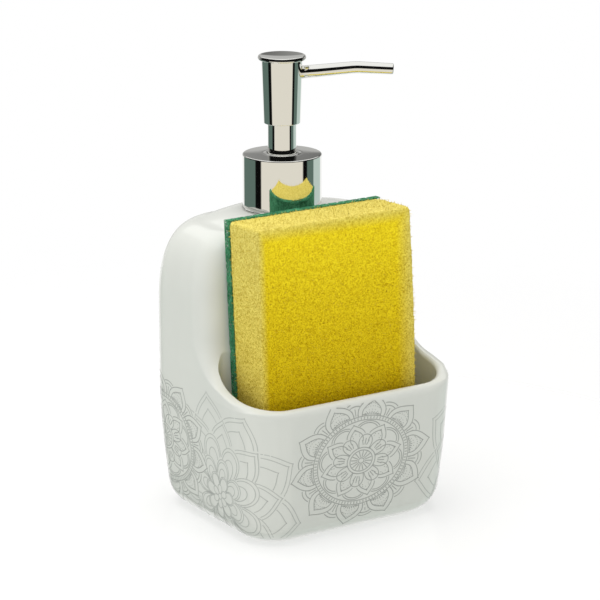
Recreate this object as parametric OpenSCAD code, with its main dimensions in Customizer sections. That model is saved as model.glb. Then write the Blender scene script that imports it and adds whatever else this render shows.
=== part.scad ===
// Soap dispenser with a sponge tray: a glazed ceramic bottle, a chromed lotion pump and a sponge.
// Millimetres, +Z up, +Y towards the back. The origin is the middle of the base on the surface.

/* [Ceramic body] */
// Width of the soap tower
body_w = 99.8; // [92:0.1:108]
// Depth of the body, front wall to back
body_d = 86.4; // [82:0.1:94]
// Height of the flat neck land at the top of the dome
dome_z = 122; // [116:0.1:136]
// Radius of the upright corners
corner_r = 17.3; // [14:0.1:18.6]
// Outward bow of each side between its corners
side_bow = 0.3; // [0:0.1:1.2]
// Thickness of the cast wall
wall = 4.4; // [3.8:0.1:4.5]
// How far the outline is drawn in at the foot
foot_draw = 4; // [2:0.1:6]
// Height over which the outline is drawn in
foot_draw_h = 50.4; // [44:0.1:52]
// Height of the rounded edge under the foot
foot_edge_h = 10.2; // [6:0.1:12]
// Inset of the rounded edge under the foot
foot_edge_in = 7.8; // [4:0.1:9]
// Depth of the recess inside the unglazed foot ring
foot_recess = 1.2; // [0.6:0.1:2]
// Width of the unglazed foot ring
foot_ring_w = 6; // [4:0.1:9]
// Thickness of the floor under the soap chamber
floor_t = 6; // [5:0.1:8]
// Height of the shoulder curve
shoulder_h = 32.1; // [26:0.1:36]
// How far the shoulder comes in on each side
shoulder_side = 16.5; // [14:0.1:20]
// How far the shoulder comes in at the back
shoulder_back = 8; // [6:0.1:9]
// How far the shoulder comes in at the front
shoulder_front = 1.2; // [0.4:0.1:1.4]
// Rise from the shoulder to the neck land
dome_rise = 2.8; // [2:0.1:3.4]
// Radius of the neck land
land_r = 17; // [16.9:0.1:18]

/* [Sponge tray] */
// Height of the tray's front rim
rim_z = 56.4; // [55:0.1:60]
// Rise of the side rims towards the tower, degrees
rim_rise = 13; // [10:1:16]
// Inset of the rim's rounded outer edge
rim_edge_out = 2.4; // [1.8:0.1:2.8]
// Drop of the rim's rounded outer edge
rim_edge_drop = 3.5; // [2.5:0.1:4]
// Radius of the rim's rounded inner edge
rim_edge_in = 2; // [1.2:0.1:2.2]
// Flare of the tray's lip on each side
rim_flare = 1.1; // [0:0.1:1.5]
// Height over which the lip flares
rim_flare_h = 16; // [10:0.5:20]
// Rounding of the side rims along their outer edge
rim_side_edge = 5; // [3:0.1:6]
// Height of the tray's floor
tray_floor = 15.5; // [13:0.1:20]
// Radius between the tray's floor and its walls
tray_floor_r = 3; // [1.5:0.1:3.2]
// Radius of the tray's two back corners
tray_back_r = 4; // [3:0.1:4.5]
// Distance from the body's middle forward to the tower's front face, at the base
tower_front = 10.2; // [10:0.1:10.4]
// Backward lean of the tower's front face, degrees
tower_lean = 3; // [2:0.5:4]
// Radius where the side rims sweep up into the tower
tower_fillet_r = 18; // [14:0.1:20]
// Radius of the tower's upright front edges
tower_edge_r = 10; // [7:0.1:12]
// Step between the tray's back wall and the tower's front face
tray_back_step = 0.6; // [0.4:0.1:1]

/* [Neck] */
// Distance of the pump's axis behind the body's middle
pump_y = 15.4; // [15:0.1:17]
// Radius of the hole through the ceramic
neck_hole_r = 13; // [12.6:0.1:13.4]
// Radius of the threaded neck, over its threads
neck_r = 13.6; // [13.4:0.05:13.7]
// Radius of the bore through the neck insert
neck_bore_r = 10.9; // [10:0.1:11.2]
// Height of the threaded neck above its flange
neck_h = 15.1; // [14.8:0.1:17]
// Radius of the neck insert's flange
neck_flange_r = 14.8; // [14.4:0.1:15]
// Thickness of the neck insert's flange
neck_flange_t = 1.5; // [1:0.1:2]
// Depth of the neck insert's spigot in the ceramic
neck_spigot_h = 8; // [6:0.1:9]
// Thickness of the sealing washer
washer_t = 1; // [0.8:0.1:1.4]

/* [Collar] */
// Radius of the chromed collar
collar_r = 16; // [16:0.1:17]
// Height of the chromed collar
collar_h = 22.5; // [22.2:0.1:25]
// Thickness of the collar's metal
shell_t = 0.4; // [0.3:0.05:0.6]
// Radius of the flared bead at the collar's foot
foot_bead_r = 0.45; // [0.35:0.05:0.6]
// Rounding of the collar's top edge
collar_edge_r = 0.9; // [0.5:0.1:1.2]
// Inner radius of the liner at its thread
liner_bore_r = 14; // [13.95:0.05:14.2]
// Height of the threaded skirt of the liner below its web
liner_skirt_h = 15.4; // [14:0.1:16]

/* [Pump] */
// Bore radius of the pump cylinder
cylinder_r = 7.6; // [7:0.1:8]
// Wall of the pump cylinder
cylinder_wall = 1; // [0.8:0.1:1.4]
// Length of the pump cylinder below its flange
cylinder_l = 46; // [44:0.5:54]
// Thickness of the pump cylinder's flange
cylinder_flange_t = 1.2; // [1:0.1:1.6]
// Thickness of the pump cylinder's floor
cylinder_floor_t = 1.6; // [1.2:0.1:2.4]
// Radius of the inlet ball
inlet_ball_r = 2.6; // [2.3:0.1:2.7]
// Radius of the inlet hole under the ball
inlet_hole_r = 2; // [1.5:0.1:2.1]
// Lift of the inlet ball off its seat
inlet_lift = 1.5; // [1:0.1:2]
// Outer radius of the dip tube
dip_r = 3; // [2.8:0.1:3.2]
// Bore radius of the dip tube
dip_bore_r = 2; // [1.6:0.1:2.2]
// Height of the dip tube's lower end above the chamber floor
dip_gap = 5; // [3:0.5:12]
// Length of the socket that holds the dip tube
dip_socket_l = 9; // [7:0.5:12]
// Stroke of the pump head
stroke = 12; // [10:0.1:12.5]
// Outer radius of the stem
stem_r = 3.2; // [3:0.1:3.4]
// Bore radius of the stem
stem_bore_r = 1.7; // [1.4:0.1:1.8]
// Height of the piston seal
piston_h = 6; // [5:0.1:7]
// Wire diameter of the return spring
spring_wire = 0.9; // [0.7:0.05:1]
// Mean radius of the return spring
spring_r = 5.7; // [5.5:0.05:5.9]
// Number of curls of the return spring
spring_curls = 7; // [5:1:8]

/* [Head] */
// Outer radius of the chromed stem sleeve
sleeve_r = 5.8; // [5.7:0.05:5.9]
// Wall of the chromed stem sleeve
sleeve_t = 0.45; // [0.4:0.05:0.5]
// Gap that shows between the collar and the head
head_gap = 12.4; // [12.4:0.1:15]
// Radius of the head at its lower end
head_foot_r = 7.46; // [7.4:0.02:7.8]
// Radius of the head under its cap
head_top_r = 8.3; // [8:0.1:8.8]
// Height of the head's barrel
head_h = 25.6; // [25:0.1:28]
// Bore radius of the head's barrel
head_bore_r = 7; // [6.8:0.05:7.05]
// Radius of the cap
cap_r = 9.7; // [9.4:0.1:11]
// Thickness of the cap's rounded rim
cap_t = 1.8; // [1.4:0.1:2.4]
// Depth of the dish in the cap
cap_dish = 0.7; // [0.3:0.1:0.9]
// Radius of the outlet ball
outlet_ball_r = 2.3; // [2.2:0.02:2.34]
// Lift of the outlet ball off its seat
outlet_lift = 1.2; // [0.8:0.1:1.5]

/* [Spout] */
// Direction of the spout, degrees clockwise from +X seen from above
spout_turn = 33; // [0:1:60]
// Reach of the spout from the pump's axis
spout_reach = 44.5; // [40:0.5:46]
// Reach at which the spout bends
spout_bend_at = 29.5; // [24:0.5:34]
// Upward slope of the spout before the bend, degrees
spout_up = 5.4; // [2:0.1:7]
// Downward slope of the spout after the bend, degrees
spout_down = 2.7; // [1:0.1:5]
// Centre radius of the spout's bend
spout_bend_r = 24; // [18:0.5:40]
// Radius of the spout at the head
spout_root_r = 2.7; // [2.5:0.05:2.9]
// Radius of the spout at its tip
spout_tip_r = 2.25; // [2:0.05:2.4]
// Bore radius of the spout
spout_bore_r = 1.4; // [1.2:0.1:1.6]
// Distance of the spout's axis below the head's top
spout_drop = 5.9; // [5:0.1:6.5]

/* [Sponge] */
// Room left beside the sponge across the tray
sponge_room = 17; // [10:0.5:30]
// Part of that room on the sponge's left
sponge_left = 5.5; // [4.8:0.1:8]
// Room left in front of the sponge at the tray's floor
foam_room = 3.6; // [3.2:0.1:10]
// Height of the sponge
sponge_h = 110; // [90:0.5:114]
// Thickness of the green scouring pad
pad_t = 2.8; // [2:0.1:4]
// Growth in the foam's thickness from its squeezed foot to its top
foam_swell = 2.4; // [0:0.1:3]
// Bulge of the foam's right side at mid height
foam_bulge = 1.4; // [0:0.1:2]
// Rounding of the foam's edges
foam_edge_r = 1.2; // [0.6:0.1:2]
// Rounding of the foam's front corners at its foot, where the tray squeezes them
foam_foot_r = 6; // [5:0.1:8]
// Turn of the sponge about its height, degrees
sponge_yaw = 1.5; // [0:0.1:1.6]
// Tilt of the sponge to its left, degrees
sponge_tilt = 0.7; // [0:0.1:1]

/* [Clearances] */
// Gap between pieces that seat on each other
seat_gap = 0.05; // [0.03:0.01:0.08]
// Gap between pieces that slide or turn
run_gap = 0.08; // [0.05:0.01:0.1]
// Gap left round the sponge where it rests
rest_gap = 0.3; // [0.2:0.05:0.5]

/* [Hidden] */
$fn = 96;
// Overrun of every cut past the face that it leaves
over = 1;
corner_steps = 6;
edge_steps = 3;
draw_power = 1.65;
side_power = 2.7;
back_power = 1.6;

half_w = body_w / 2;
half_d = body_d / 2;
bow_share = side_bow / half_w;

// Width and depth of the tray at its floor, and the sponge that stands in it
tray_w = 2 * (half_w - foot_in(tray_floor) - wall);
tray_d = half_d - foot_in(tray_floor) - wall + tower_y(tray_floor) - tray_back_step;
sponge_w = tray_w - sponge_room;
sponge_shift = sponge_room / 2 - sponge_left;
foam_t = tray_d - pad_t - foam_room;

// Heights of the pump's pieces, from the neck land up
neck_top = dome_z + neck_flange_t + neck_h;
flange_z = neck_top + washer_t;
clamp_z = flange_z + cylinder_flange_t;
collar_z = dome_z + seat_gap;
collar_top = collar_z + collar_h;
web_t = 1.5;
web_z = collar_top - shell_t - seat_gap - web_t;
clamp_step_r = 9.8;
cap_flange_t = web_z - clamp_z - 2 * seat_gap;

// Heights of the pump's works, from the head down
head_z = collar_top + head_gap;
head_top = head_z + head_h;
sleeve_lap = 1;
sleeve_z = collar_top - sleeve_lap;
sleeve_top = head_z + 0.24 * head_h;
well_gap = 1.2;
well_z = sleeve_z - stroke - well_gap;
guide_h = 3.2;
guide_z = well_z - guide_h;
piston_top = guide_z - rest_gap;
spring_seat_t = 1.2;
spring_seat_z = piston_top - piston_h - 2 * seat_gap - spring_seat_t;
spring_seat_r = 6.6;
stem_nose = 2;
stem_z = spring_seat_z - stem_nose;

cylinder_z = flange_z - cylinder_l;
cylinder_floor = cylinder_z + cylinder_floor_t;
inlet_seat_h = sqrt(pow(inlet_ball_r, 2) - pow(inlet_hole_r, 2));
inlet_ball_z = cylinder_floor + inlet_seat_h + seat_gap;
cage_bore_r = inlet_ball_r + 0.12 * inlet_ball_r;
cage_r = cage_bore_r + cylinder_wall;
nib_w = 1.2;
nib_t = 0.9;
cage_top = inlet_ball_z + inlet_ball_r + inlet_lift + rest_gap + nib_t;
nib_tip_r = 0.6 * inlet_ball_r;
dip_top = cylinder_z - seat_gap;
dip_z = floor_t + dip_gap;

// Heights of the head's works
outlet_seat_z = head_z - 0.55 * head_gap;
outlet_seat_h = sqrt(pow(outlet_ball_r, 2) - pow(stem_bore_r, 2));
outlet_ball_z = outlet_seat_z + outlet_seat_h + seat_gap;
outlet_bore_r = outlet_ball_r + 0.05 * outlet_ball_r;
stop_z = outlet_ball_z + outlet_ball_r + outlet_lift + seat_gap;
stop_r = outlet_bore_r - seat_gap;
stop_bore_r = 0.5 * stop_r;
stem_top = head_z + 0.35 * head_h;
insert_foot = head_z + seat_gap;
lip_t = 1.3;
spout_root = 0.25 * head_bore_r;
channel_r = 0.9 * spout_bore_r;

// The tower's front face: its place at height z
function tower_y(z) = -tower_front + z * tan(tower_lean);
// The rim's height at depth y, before it sweeps up into the tower
rim_y = -half_d + rim_edge_out;
function rim_at(y) = rim_z + (y - rim_y) * tan(rim_rise);
// Centre of the sweep that is tangent to the rim line and to the tower's face
sweep_z = (rim_z + (-tower_front - tower_fillet_r / cos(tower_lean) - rim_y) * tan(rim_rise)
           + tower_fillet_r / cos(rim_rise)) / (1 - tan(tower_lean) * tan(rim_rise));
sweep_y = tower_y(sweep_z) - tower_fillet_r / cos(tower_lean);
sweep_from_y = sweep_y + tower_fillet_r * sin(rim_rise);
// Height of the crest of the walls at depth y
function crest_z(y) =
    y < sweep_from_y ? rim_at(max(y, rim_y))
    : sweep_z - sqrt(max(0, pow(tower_fillet_r, 2) - pow(y - sweep_y, 2)));

// Inset of the outline at height z near the foot
function round_in(share) = 1 - sqrt(max(0, 1 - pow(share, 2)));
function foot_in(z) = foot_draw * pow(max(0, 1 - z / foot_draw_h), draw_power)
    + foot_edge_in * round_in(max(0, 1 - z / foot_edge_h));
// Share of the shoulder's inset at height z: fuller at the sides than at the back
shoulder_top = dome_z - dome_rise;
shoulder_z = shoulder_top - shoulder_h;
function shoulder_at(z, power) =
    let (s = min(1, max(0, (z - shoulder_z) / shoulder_h))) 1 - pow(1 - pow(s, power), 1 / power);

// One level of a lofted form: a rounded rectangle from front to back, its sides slightly bowed.
// hw is half its width, rf and rb are its front and back corner radii.
function corner(cx, cy, r, from) =
    [for (i = [0 : corner_steps]) let (a = from + 90 * i / corner_steps) [cx + r * cos(a), cy + r * sin(a)]];
function edge(a, b, steps) = [for (i = [1 : 1 : steps]) a + (b - a) * i / (steps + 1)];
function outline(hw, front, back, rf, rb, steps = edge_steps) =
    let (c = [corner(hw - rb, back - rb, rb, 0), corner(rb - hw, back - rb, rb, 90),
              corner(rf - hw, front + rf, rf, 180), corner(hw - rf, front + rf, rf, 270)])
    [for (k = [0 : 3]) each concat(c[k], edge(c[k][corner_steps], c[(k + 1) % 4][0], steps))];
function bowed(p) = [p.x * (1 - bow_share * pow(p.y / half_d, 2)), p.y * (1 - bow_share * pow(p.x / half_w, 2))];
// Flare of the tray's lip at depth y and height z: none behind the body's middle
function flare_at(y, z) =
    rim_flare * pow(min(1, max(0, 1 - (rim_z - z) / rim_flare_h)), 2) * min(1, max(0, -2 * y / half_d));
// The bowed point raised to height z, with the flare
function raised(p, z) = let (b = bowed(p)) [b.x * (1 + flare_at(b.y, z) / half_w), b.y, z];
function level(hw, front, back, rf, rb, z) = [for (p = outline(hw, front, back, rf, rb)) raised(p, z)];

// A closed skin over levels that all have the same number of points, the lowest first
module skin(levels) {
    n = len(levels[0]);
    m = len(levels);
    sides = [for (k = [0 : m - 2], i = [0 : n - 1])
        let (a = k * n + i, b = k * n + (i + 1) % n, c = b + n, d = a + n)
        each [[a, d, c], [a, c, b]]];
    ends = [[for (i = [0 : n - 1]) i], [for (i = [n - 1 : -1 : 0]) (m - 1) * n + i]];
    polyhedron([for (l = levels) each l], concat(sides, ends), convexity = 8);
}

// The outside of the ceramic, from the foot to the neck land
foot_shares = [0, 0.1, 0.3, 0.6, 1];
draw_shares = [0.25, 0.5, 0.75, 1];
sweep_steps = 6;
shoulder_shares = [0, 0.3, 0.5, 0.66, 0.8, 0.9, 0.97, 1];
rim_shares = [0.15, 0.35, 0.6, 0.8];
round_share = 0.98;
function body_level(z) = let (i = foot_in(z), r = corner_r - i / 2)
    level(half_w - i, i - half_d, half_d - i, r, r, z);
function rim_level(y, z) = level(half_w, y, half_d, max(rim_side_edge, corner_r - (y + half_d)), corner_r, z);
function sweep_level(share) = let (a = rim_rise + (90 - tower_lean - rim_rise) * share)
    level(half_w, sweep_y + tower_fillet_r * sin(a), half_d,
          rim_side_edge + (tower_edge_r - rim_side_edge) * share, corner_r, sweep_z - tower_fillet_r * cos(a));
function tower_level(z) = let (s = shoulder_at(z, side_power))
    level(half_w - shoulder_side * s, tower_y(z) + shoulder_front * s,
          half_d - shoulder_back * shoulder_at(z, back_power), tower_edge_r + shoulder_side * s / 4, corner_r, z);
outside = concat(
    [for (s = foot_shares) body_level(foot_edge_h * s)],
    [for (s = draw_shares) body_level(foot_edge_h + (foot_draw_h - foot_edge_h) * s)],
    [for (a = [0 : 30 : 90]) rim_level(rim_y - rim_edge_out * cos(a), rim_z - rim_edge_drop * (1 - sin(a)))],
    [for (s = rim_shares) let (y = rim_y + (sweep_from_y - rim_y) * s) rim_level(y, rim_at(y))],
    [for (i = [0 : sweep_steps]) sweep_level(i / sweep_steps)],
    [for (s = shoulder_shares) tower_level(shoulder_z + shoulder_h * s)],
    [level(land_r, pump_y - land_r, pump_y + land_r, round_share * land_r, round_share * land_r, dome_z)]);

// The tray's hollow, open upwards, its top edge rounded along the crest of the walls
tray_floor_shares = [0, 0.12, 0.4, 1];
edge_in_shares = [1, 0.6, 0.25, 0];
tray_top = dome_z + over;
// Height where the tray's back wall ends in the sweep of the side rims
tray_back_z = sweep_z - tower_fillet_r * cos(asin(cos(tower_lean) - tray_back_step / tower_fillet_r));
function tray_outline(z, out) = let (i = foot_in(max(z, foot_edge_h)) + wall, r = corner_r - i / 2)
    outline(half_w - i + out, i - half_d - out, tower_y(max(z, tray_floor)) - tray_back_step, r, tray_back_r);
function tray_level(z) = let (out = -tray_floor_r * round_in(max(0, 1 - (z - tray_floor) / tray_floor_r)))
    [for (p = tray_outline(z, out)) raised(p, z)];
function edge_level(share) = let (drop = rim_edge_in * share, out = rim_edge_in * round_in(1 - share))
    [for (p = tray_outline(tray_back_z, out)) raised(p, crest_z(bowed(p).y) - drop)];
function open_level(z) = [for (p = tray_outline(tray_back_z, rim_edge_in + over)) raised(p, z)];
tray = concat(
    [for (s = tray_floor_shares) tray_level(tray_floor + tray_floor_r * s)],
    [tray_level((tray_floor + rim_z) / 2)],
    [for (s = edge_in_shares) edge_level(s)],
    [open_level(sweep_z), open_level(tray_top)]);

// The soap chamber inside the tower
chamber_floor_r = 5;
chamber_top = dome_z - 1.3 * wall;
chamber_shares = [0.12, 0.3, 0.5, 0.68, 0.8, 0.88, 0.95, 1];
function chamber_level(z) =
    let (s = shoulder_at(z, side_power), i = foot_in(max(z, foot_edge_h)) + wall,
         f = chamber_floor_r * round_in(max(0, 1 - (z - floor_t) / chamber_floor_r)))
    level(half_w - i - f - shoulder_side * s, tower_y(z) + wall + f + shoulder_front * s,
          half_d - i - f - shoulder_back * shoulder_at(z, back_power), tower_edge_r, corner_r - wall, z);
chamber = concat(
    [for (s = [0, 0.15, 0.5, 1]) chamber_level(floor_t + chamber_floor_r * s)],
    [for (s = chamber_shares) chamber_level(floor_t + chamber_floor_r + (chamber_top - floor_t - chamber_floor_r) * s)]);

// A turned piece about the pump's axis, from its half profile of [radius, height] points
module turned(profile) {
    translate([0, pump_y, 0]) rotate_extrude() polygon(profile);
}

// A plain ring about the pump's axis
module ring(outer, inner, from, to) {
    turned([[inner, from], [outer, from], [outer, to], [inner, to]]);
}

module ceramic_body() {
    i = foot_in(0) + foot_ring_w;
    color("whitesmoke") difference() {
        skin(outside);
        skin(tray);
        skin(chamber);
        translate([0, pump_y, chamber_top - over]) cylinder(r = neck_hole_r, h = dome_z - chamber_top + 2 * over);
        translate([0, 0, -over]) linear_extrude(foot_recess + over)
            polygon(outline(half_w - i, i - half_d, half_d - i, corner_r - i / 2, corner_r - i / 2));
    }
}

// Threaded plastic neck, cemented into the hole of the ceramic
module neck_insert() {
    spigot_r = neck_hole_r - seat_gap;
    base = dome_z + seat_gap;
    flange_top = dome_z + neck_flange_t;
    color("ivory") turned([
        [neck_bore_r, dome_z - neck_spigot_h], [spigot_r, dome_z - neck_spigot_h], [spigot_r, base],
        [neck_flange_r, base], [neck_flange_r, flange_top],
        [neck_r, flange_top], [neck_r, neck_top], [neck_bore_r, neck_top]]);
}

module sealing_washer() {
    color("dimgray") ring(neck_r - seat_gap, neck_bore_r, neck_top + seat_gap, flange_z - seat_gap);
}

// Pump cylinder: clamped by its flange, with the inlet valve's seat and cage in its floor
module pump_cylinder() {
    outer_r = cylinder_r + cylinder_wall;
    socket_bore_r = dip_r + seat_gap;
    socket_r = socket_bore_r + cylinder_wall;
    socket_z = cylinder_z - dip_socket_l;
    color("white") {
        turned([
            [inlet_hole_r, cylinder_z], [socket_bore_r, cylinder_z], [socket_bore_r, socket_z], [socket_r, socket_z],
            [socket_r, cylinder_z], [outer_r, cylinder_z], [outer_r, flange_z], [neck_r - seat_gap, flange_z],
            [neck_r - seat_gap, clamp_z], [cylinder_r, clamp_z], [cylinder_r, cylinder_floor],
            [cage_r, cylinder_floor], [cage_r, cage_top], [cage_bore_r, cage_top], [cage_bore_r, cylinder_floor],
            [inlet_hole_r, cylinder_floor]]);
        for (a = [0 : 120 : 240]) translate([0, pump_y, cage_top - nib_t]) rotate(a)
            translate([nib_tip_r, -nib_w / 2, 0]) cube([cage_r - nib_tip_r - cylinder_wall / 2, nib_w, nib_t]);
    }
}

// Guide that snaps into the cylinder's mouth: a bore for the stem and a well for the sleeve
module cylinder_cap() {
    plug_r = cylinder_r - seat_gap;
    guide_r = stem_r + run_gap;
    well_r = sleeve_r + 3 * run_gap;
    base = clamp_z + seat_gap;
    color("gainsboro") turned([
        [guide_r, guide_z], [plug_r, guide_z], [plug_r, base], [clamp_step_r - rest_gap, base],
        [clamp_step_r - rest_gap, base + cap_flange_t], [well_r, base + cap_flange_t], [well_r, well_z],
        [guide_r, well_z]]);
}

module inlet_ball() {
    color("silver") translate([0, pump_y, inlet_ball_z]) sphere(r = inlet_ball_r);
}

// Return spring: one unbroken wire, its end curls wound close
spring_z = cylinder_floor + spring_wire / 2 + seat_gap;
spring_l = spring_seat_z - seat_gap - spring_wire / 2 - spring_z;
curl_rings = 8;
wire_sides = 6;
close_pitch = spring_wire + 0.55 * spring_wire;
open_pitch = (spring_l - 2 * close_pitch) / (spring_curls - 2);
function curl_rise(t) = t < 1 ? t * close_pitch
    : t < spring_curls - 1 ? close_pitch + (t - 1) * open_pitch
    : spring_l - (spring_curls - t) * close_pitch;
function wire_at(k) = let (t = k / curl_rings)
    [spring_r * cos(360 * t), pump_y + spring_r * sin(360 * t), spring_z + curl_rise(t)];
function wire_ring(k) = let (a = 360 * k / curl_rings) [for (j = [0 : wire_sides - 1])
    let (b = 360 * j / wire_sides, out = spring_wire / 2 * cos(b))
    wire_at(k) + [out * cos(a), out * sin(a), spring_wire / 2 * sin(b)]];
wire_gap = min([for (k = [0 : (spring_curls - 1) * curl_rings])
    norm(wire_at(k + curl_rings) - wire_at(k)) - spring_wire]);
echo(return_spring_least_gap_to_itself = wire_gap);
module return_spring() {
    last = spring_curls * curl_rings;
    color("silver") skin([for (k = [0 : last]) wire_ring(k)]);
}

module dip_tube() {
    color("white") ring(dip_r, dip_bore_r, dip_z, dip_top);
}

// Points of an arc about [r, z], from one angle to another
arc_steps = 6;
function arc(r, z, radius, from, to) =
    [for (i = [0 : arc_steps]) let (a = from + (to - from) * i / arc_steps) [r + radius * cos(a), z + radius * sin(a)]];

// Chromed shell over the liner, with a small flared bead at its foot
module collar_shell() {
    inner_r = collar_r - shell_t;
    hole_r = sleeve_r + 4 * run_gap;
    under = collar_top - shell_t;
    edge_in = collar_edge_r - shell_t;
    color("lightgray") turned(concat(
        [[inner_r, collar_z]],
        arc(collar_r, collar_z + foot_bead_r, foot_bead_r, -90, 90),
        arc(collar_r - collar_edge_r, collar_top - collar_edge_r, collar_edge_r, 0, 90),
        [[hole_r, collar_top], [hole_r, under]],
        arc(inner_r - edge_in, under - edge_in, edge_in, 90, 0)));
}

// Plastic liner inside the collar: it clamps the pump's flange and turns on the threaded neck
module collar_liner() {
    outer_r = collar_r - shell_t - seat_gap;
    clamp_top = clamp_z + seat_gap;
    top = web_z + web_t;
    bevel = collar_edge_r;
    color("white") turned([
        [liner_bore_r, web_z - liner_skirt_h], [outer_r, web_z - liner_skirt_h], [outer_r, top - bevel],
        [outer_r - bevel, top], [sleeve_r + 6 * run_gap, top], [sleeve_r + 6 * run_gap, web_z],
        [clamp_step_r, web_z], [clamp_step_r, clamp_top], [liner_bore_r, clamp_top]]);
}

// Hollow stem: a seat for the spring and the piston below, the outlet valve's seat above
module stem() {
    color("white") turned([
        [stem_bore_r, stem_z], [stem_r, stem_z], [stem_r, spring_seat_z], [spring_seat_r, spring_seat_z],
        [spring_seat_r, spring_seat_z + spring_seat_t], [stem_r, spring_seat_z + spring_seat_t],
        [stem_r, stem_top], [outlet_bore_r, stem_top], [outlet_bore_r, outlet_seat_z],
        [stem_bore_r, outlet_seat_z]]);
}

// Piston seal with two wiping lips and a waist between them
module piston_seal() {
    lip_r = cylinder_r - run_gap;
    waist_r = spring_seat_r;
    lip_h = 0.2 * piston_h;
    waist_h = 0.36 * piston_h;
    base = spring_seat_z + spring_seat_t + seat_gap;
    inner_r = stem_r + seat_gap;
    color("ivory") turned([
        [inner_r, base], [lip_r, base], [lip_r, base + lip_h], [waist_r, base + waist_h],
        [waist_r, base + piston_h - waist_h], [lip_r, base + piston_h - lip_h], [lip_r, base + piston_h],
        [inner_r, base + piston_h]]);
}

module outlet_ball() {
    color("silver") translate([0, pump_y, outlet_ball_z]) sphere(r = outlet_ball_r);
}

module stem_sleeve() {
    color("lightgray") ring(sleeve_r, sleeve_r - sleeve_t, sleeve_z, sleeve_top);
}

// The spout's centre line lies in one upright plane: up a little from the head, then down a little
spout_axis_z = head_top - spout_drop;
bend_angle = spout_up + spout_down;
bend_tangent = spout_bend_r * tan(bend_angle / 2);
bend_arc = spout_bend_r * bend_angle * PI / 180;
rise_l = spout_bend_at / cos(spout_up) - bend_tangent;
fall_l = (spout_reach - spout_bend_at) / cos(spout_down) - bend_tangent;
spout_l = rise_l + bend_arc + fall_l;
spout_sides = 20;
// Slope of the line at a length along it, and its place there as [reach, height]
function slope_at(l) = spout_up - bend_angle * min(1, max(0, (l - rise_l) / bend_arc));
function spout_at(l) = let (
        a = min(l, rise_l), c = max(0, l - rise_l - bend_arc), t = slope_at(l),
        start = [0, spout_axis_z] + a * [cos(spout_up), sin(spout_up)],
        turn = spout_bend_r * [sin(spout_up) - sin(t), cos(t) - cos(spout_up)])
    start + turn + c * [cos(spout_down), -sin(spout_down)];
function spout_ring(l, radius) = let (at = spout_at(l), t = slope_at(l))
    [for (j = [0 : spout_sides - 1]) let (b = 360 * j / spout_sides, u = radius * cos(b))
        [at.x - u * sin(t), -radius * sin(b), at.y + u * cos(t)]];
function spout_taper(l) = spout_root_r + (spout_tip_r - spout_root_r) * l / spout_l;
bend_shares = [0, 0.25, 0.5, 0.75, 1];

// A round bar through rings of the spout's line
module along_spout(rings) {
    translate([0, pump_y, 0]) rotate(-spout_turn) skin(rings);
}

// A straight round cut along the spout's first stretch
module spout_hole(radius, start, length) {
    translate([0, pump_y, spout_axis_z]) rotate([0, 0, -spout_turn]) rotate([0, 90 - spout_up, 0])
        translate([0, 0, start]) cylinder(r = radius, h = length);
}

// Chromed spout: one tapered tube, bent once, its tip softly rounded
spout_tip_edge = 0.5;
module spout() {
    bend = [for (s = bend_shares) rise_l + bend_arc * s];
    ends = [for (a = [0 : 30 : 90]) [spout_l - spout_tip_edge * (1 - sin(a)), spout_tip_edge * (1 - cos(a))]];
    color("lightgray") difference() {
        along_spout(concat(
            [for (l = concat([spout_root], bend)) spout_ring(l, spout_taper(l))],
            [for (e = ends) spout_ring(e[0], spout_taper(e[0]) - e[1])]));
        along_spout([for (l = concat([spout_root - over], bend, [spout_l + over])) spout_ring(l, spout_bore_r)]);
    }
}

// Plastic core of the head: it grips the stem and leads the soap into the spout
module head_insert() {
    foot_r = sleeve_r - sleeve_t - seat_gap;
    socket_r = stem_r + seat_gap;
    step_z = sleeve_top + seat_gap;
    top = head_top - 0.45 * spout_drop;
    color("white") difference() {
        turned([
            [socket_r, insert_foot], [foot_r, insert_foot], [foot_r, step_z], [head_bore_r - seat_gap, step_z],
            [head_bore_r - seat_gap, top], [0, top], [0, spout_axis_z], [stop_bore_r, spout_axis_z],
            [stop_bore_r, stop_z], [stop_r, stop_z], [stop_r, stem_top + seat_gap], [socket_r, stem_top + seat_gap]]);
        spout_hole(spout_root_r + seat_gap, spout_root - seat_gap, head_bore_r);
        spout_hole(channel_r, 0, head_bore_r);
        translate([-stop_r - over, pump_y - channel_r / 2, stop_z - over])
            cube([2 * (stop_r + over), channel_r, over + channel_r]);
    }
}

// Chromed barrel of the head, with an inward lip that closes on the sleeve
module head_body() {
    lip_r = sleeve_r + seat_gap;
    color("lightgray") difference() {
        turned([
            [lip_r, head_z], [head_foot_r, head_z], [head_top_r, head_top], [head_bore_r, head_top],
            [head_bore_r, head_z + lip_t], [lip_r, head_z + lip_t]]);
        spout_hole(spout_root_r + seat_gap, head_bore_r / 2, head_top_r);
    }
}

// Chromed cap: a dished disc with a round rim, plugged into the barrel
module head_cap() {
    rim_r = cap_t / 2;
    under = head_top + seat_gap;
    plug_r = head_bore_r - seat_gap;
    plug_z = head_top - 0.35 * spout_drop;
    dish_r = cap_r - 1.5 * rim_r;
    color("lightgray") turned(concat(
        [[0, plug_z], [plug_r, plug_z], [plug_r, under]],
        arc(cap_r - rim_r, under + rim_r, rim_r, -90, 90),
        [for (s = [1, 0.75, 0.5, 0.25, 0]) [dish_r * s, under + cap_t - cap_dish * (1 - s * s)]]));
}

// Moves the sponge's own frame, its middle at the back of its foot, onto its rest in the tray
sponge_z = tray_floor + rest_gap + sponge_w / 2 * sin(sponge_tilt);
sponge_y = tower_y(sponge_z) - tray_back_step - rest_gap - sponge_w / 2 * sin(sponge_yaw);
module in_tray() {
    translate([-sponge_shift, sponge_y, sponge_z]) rotate([-tower_lean, -sponge_tilt, -sponge_yaw]) children();
}

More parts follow.
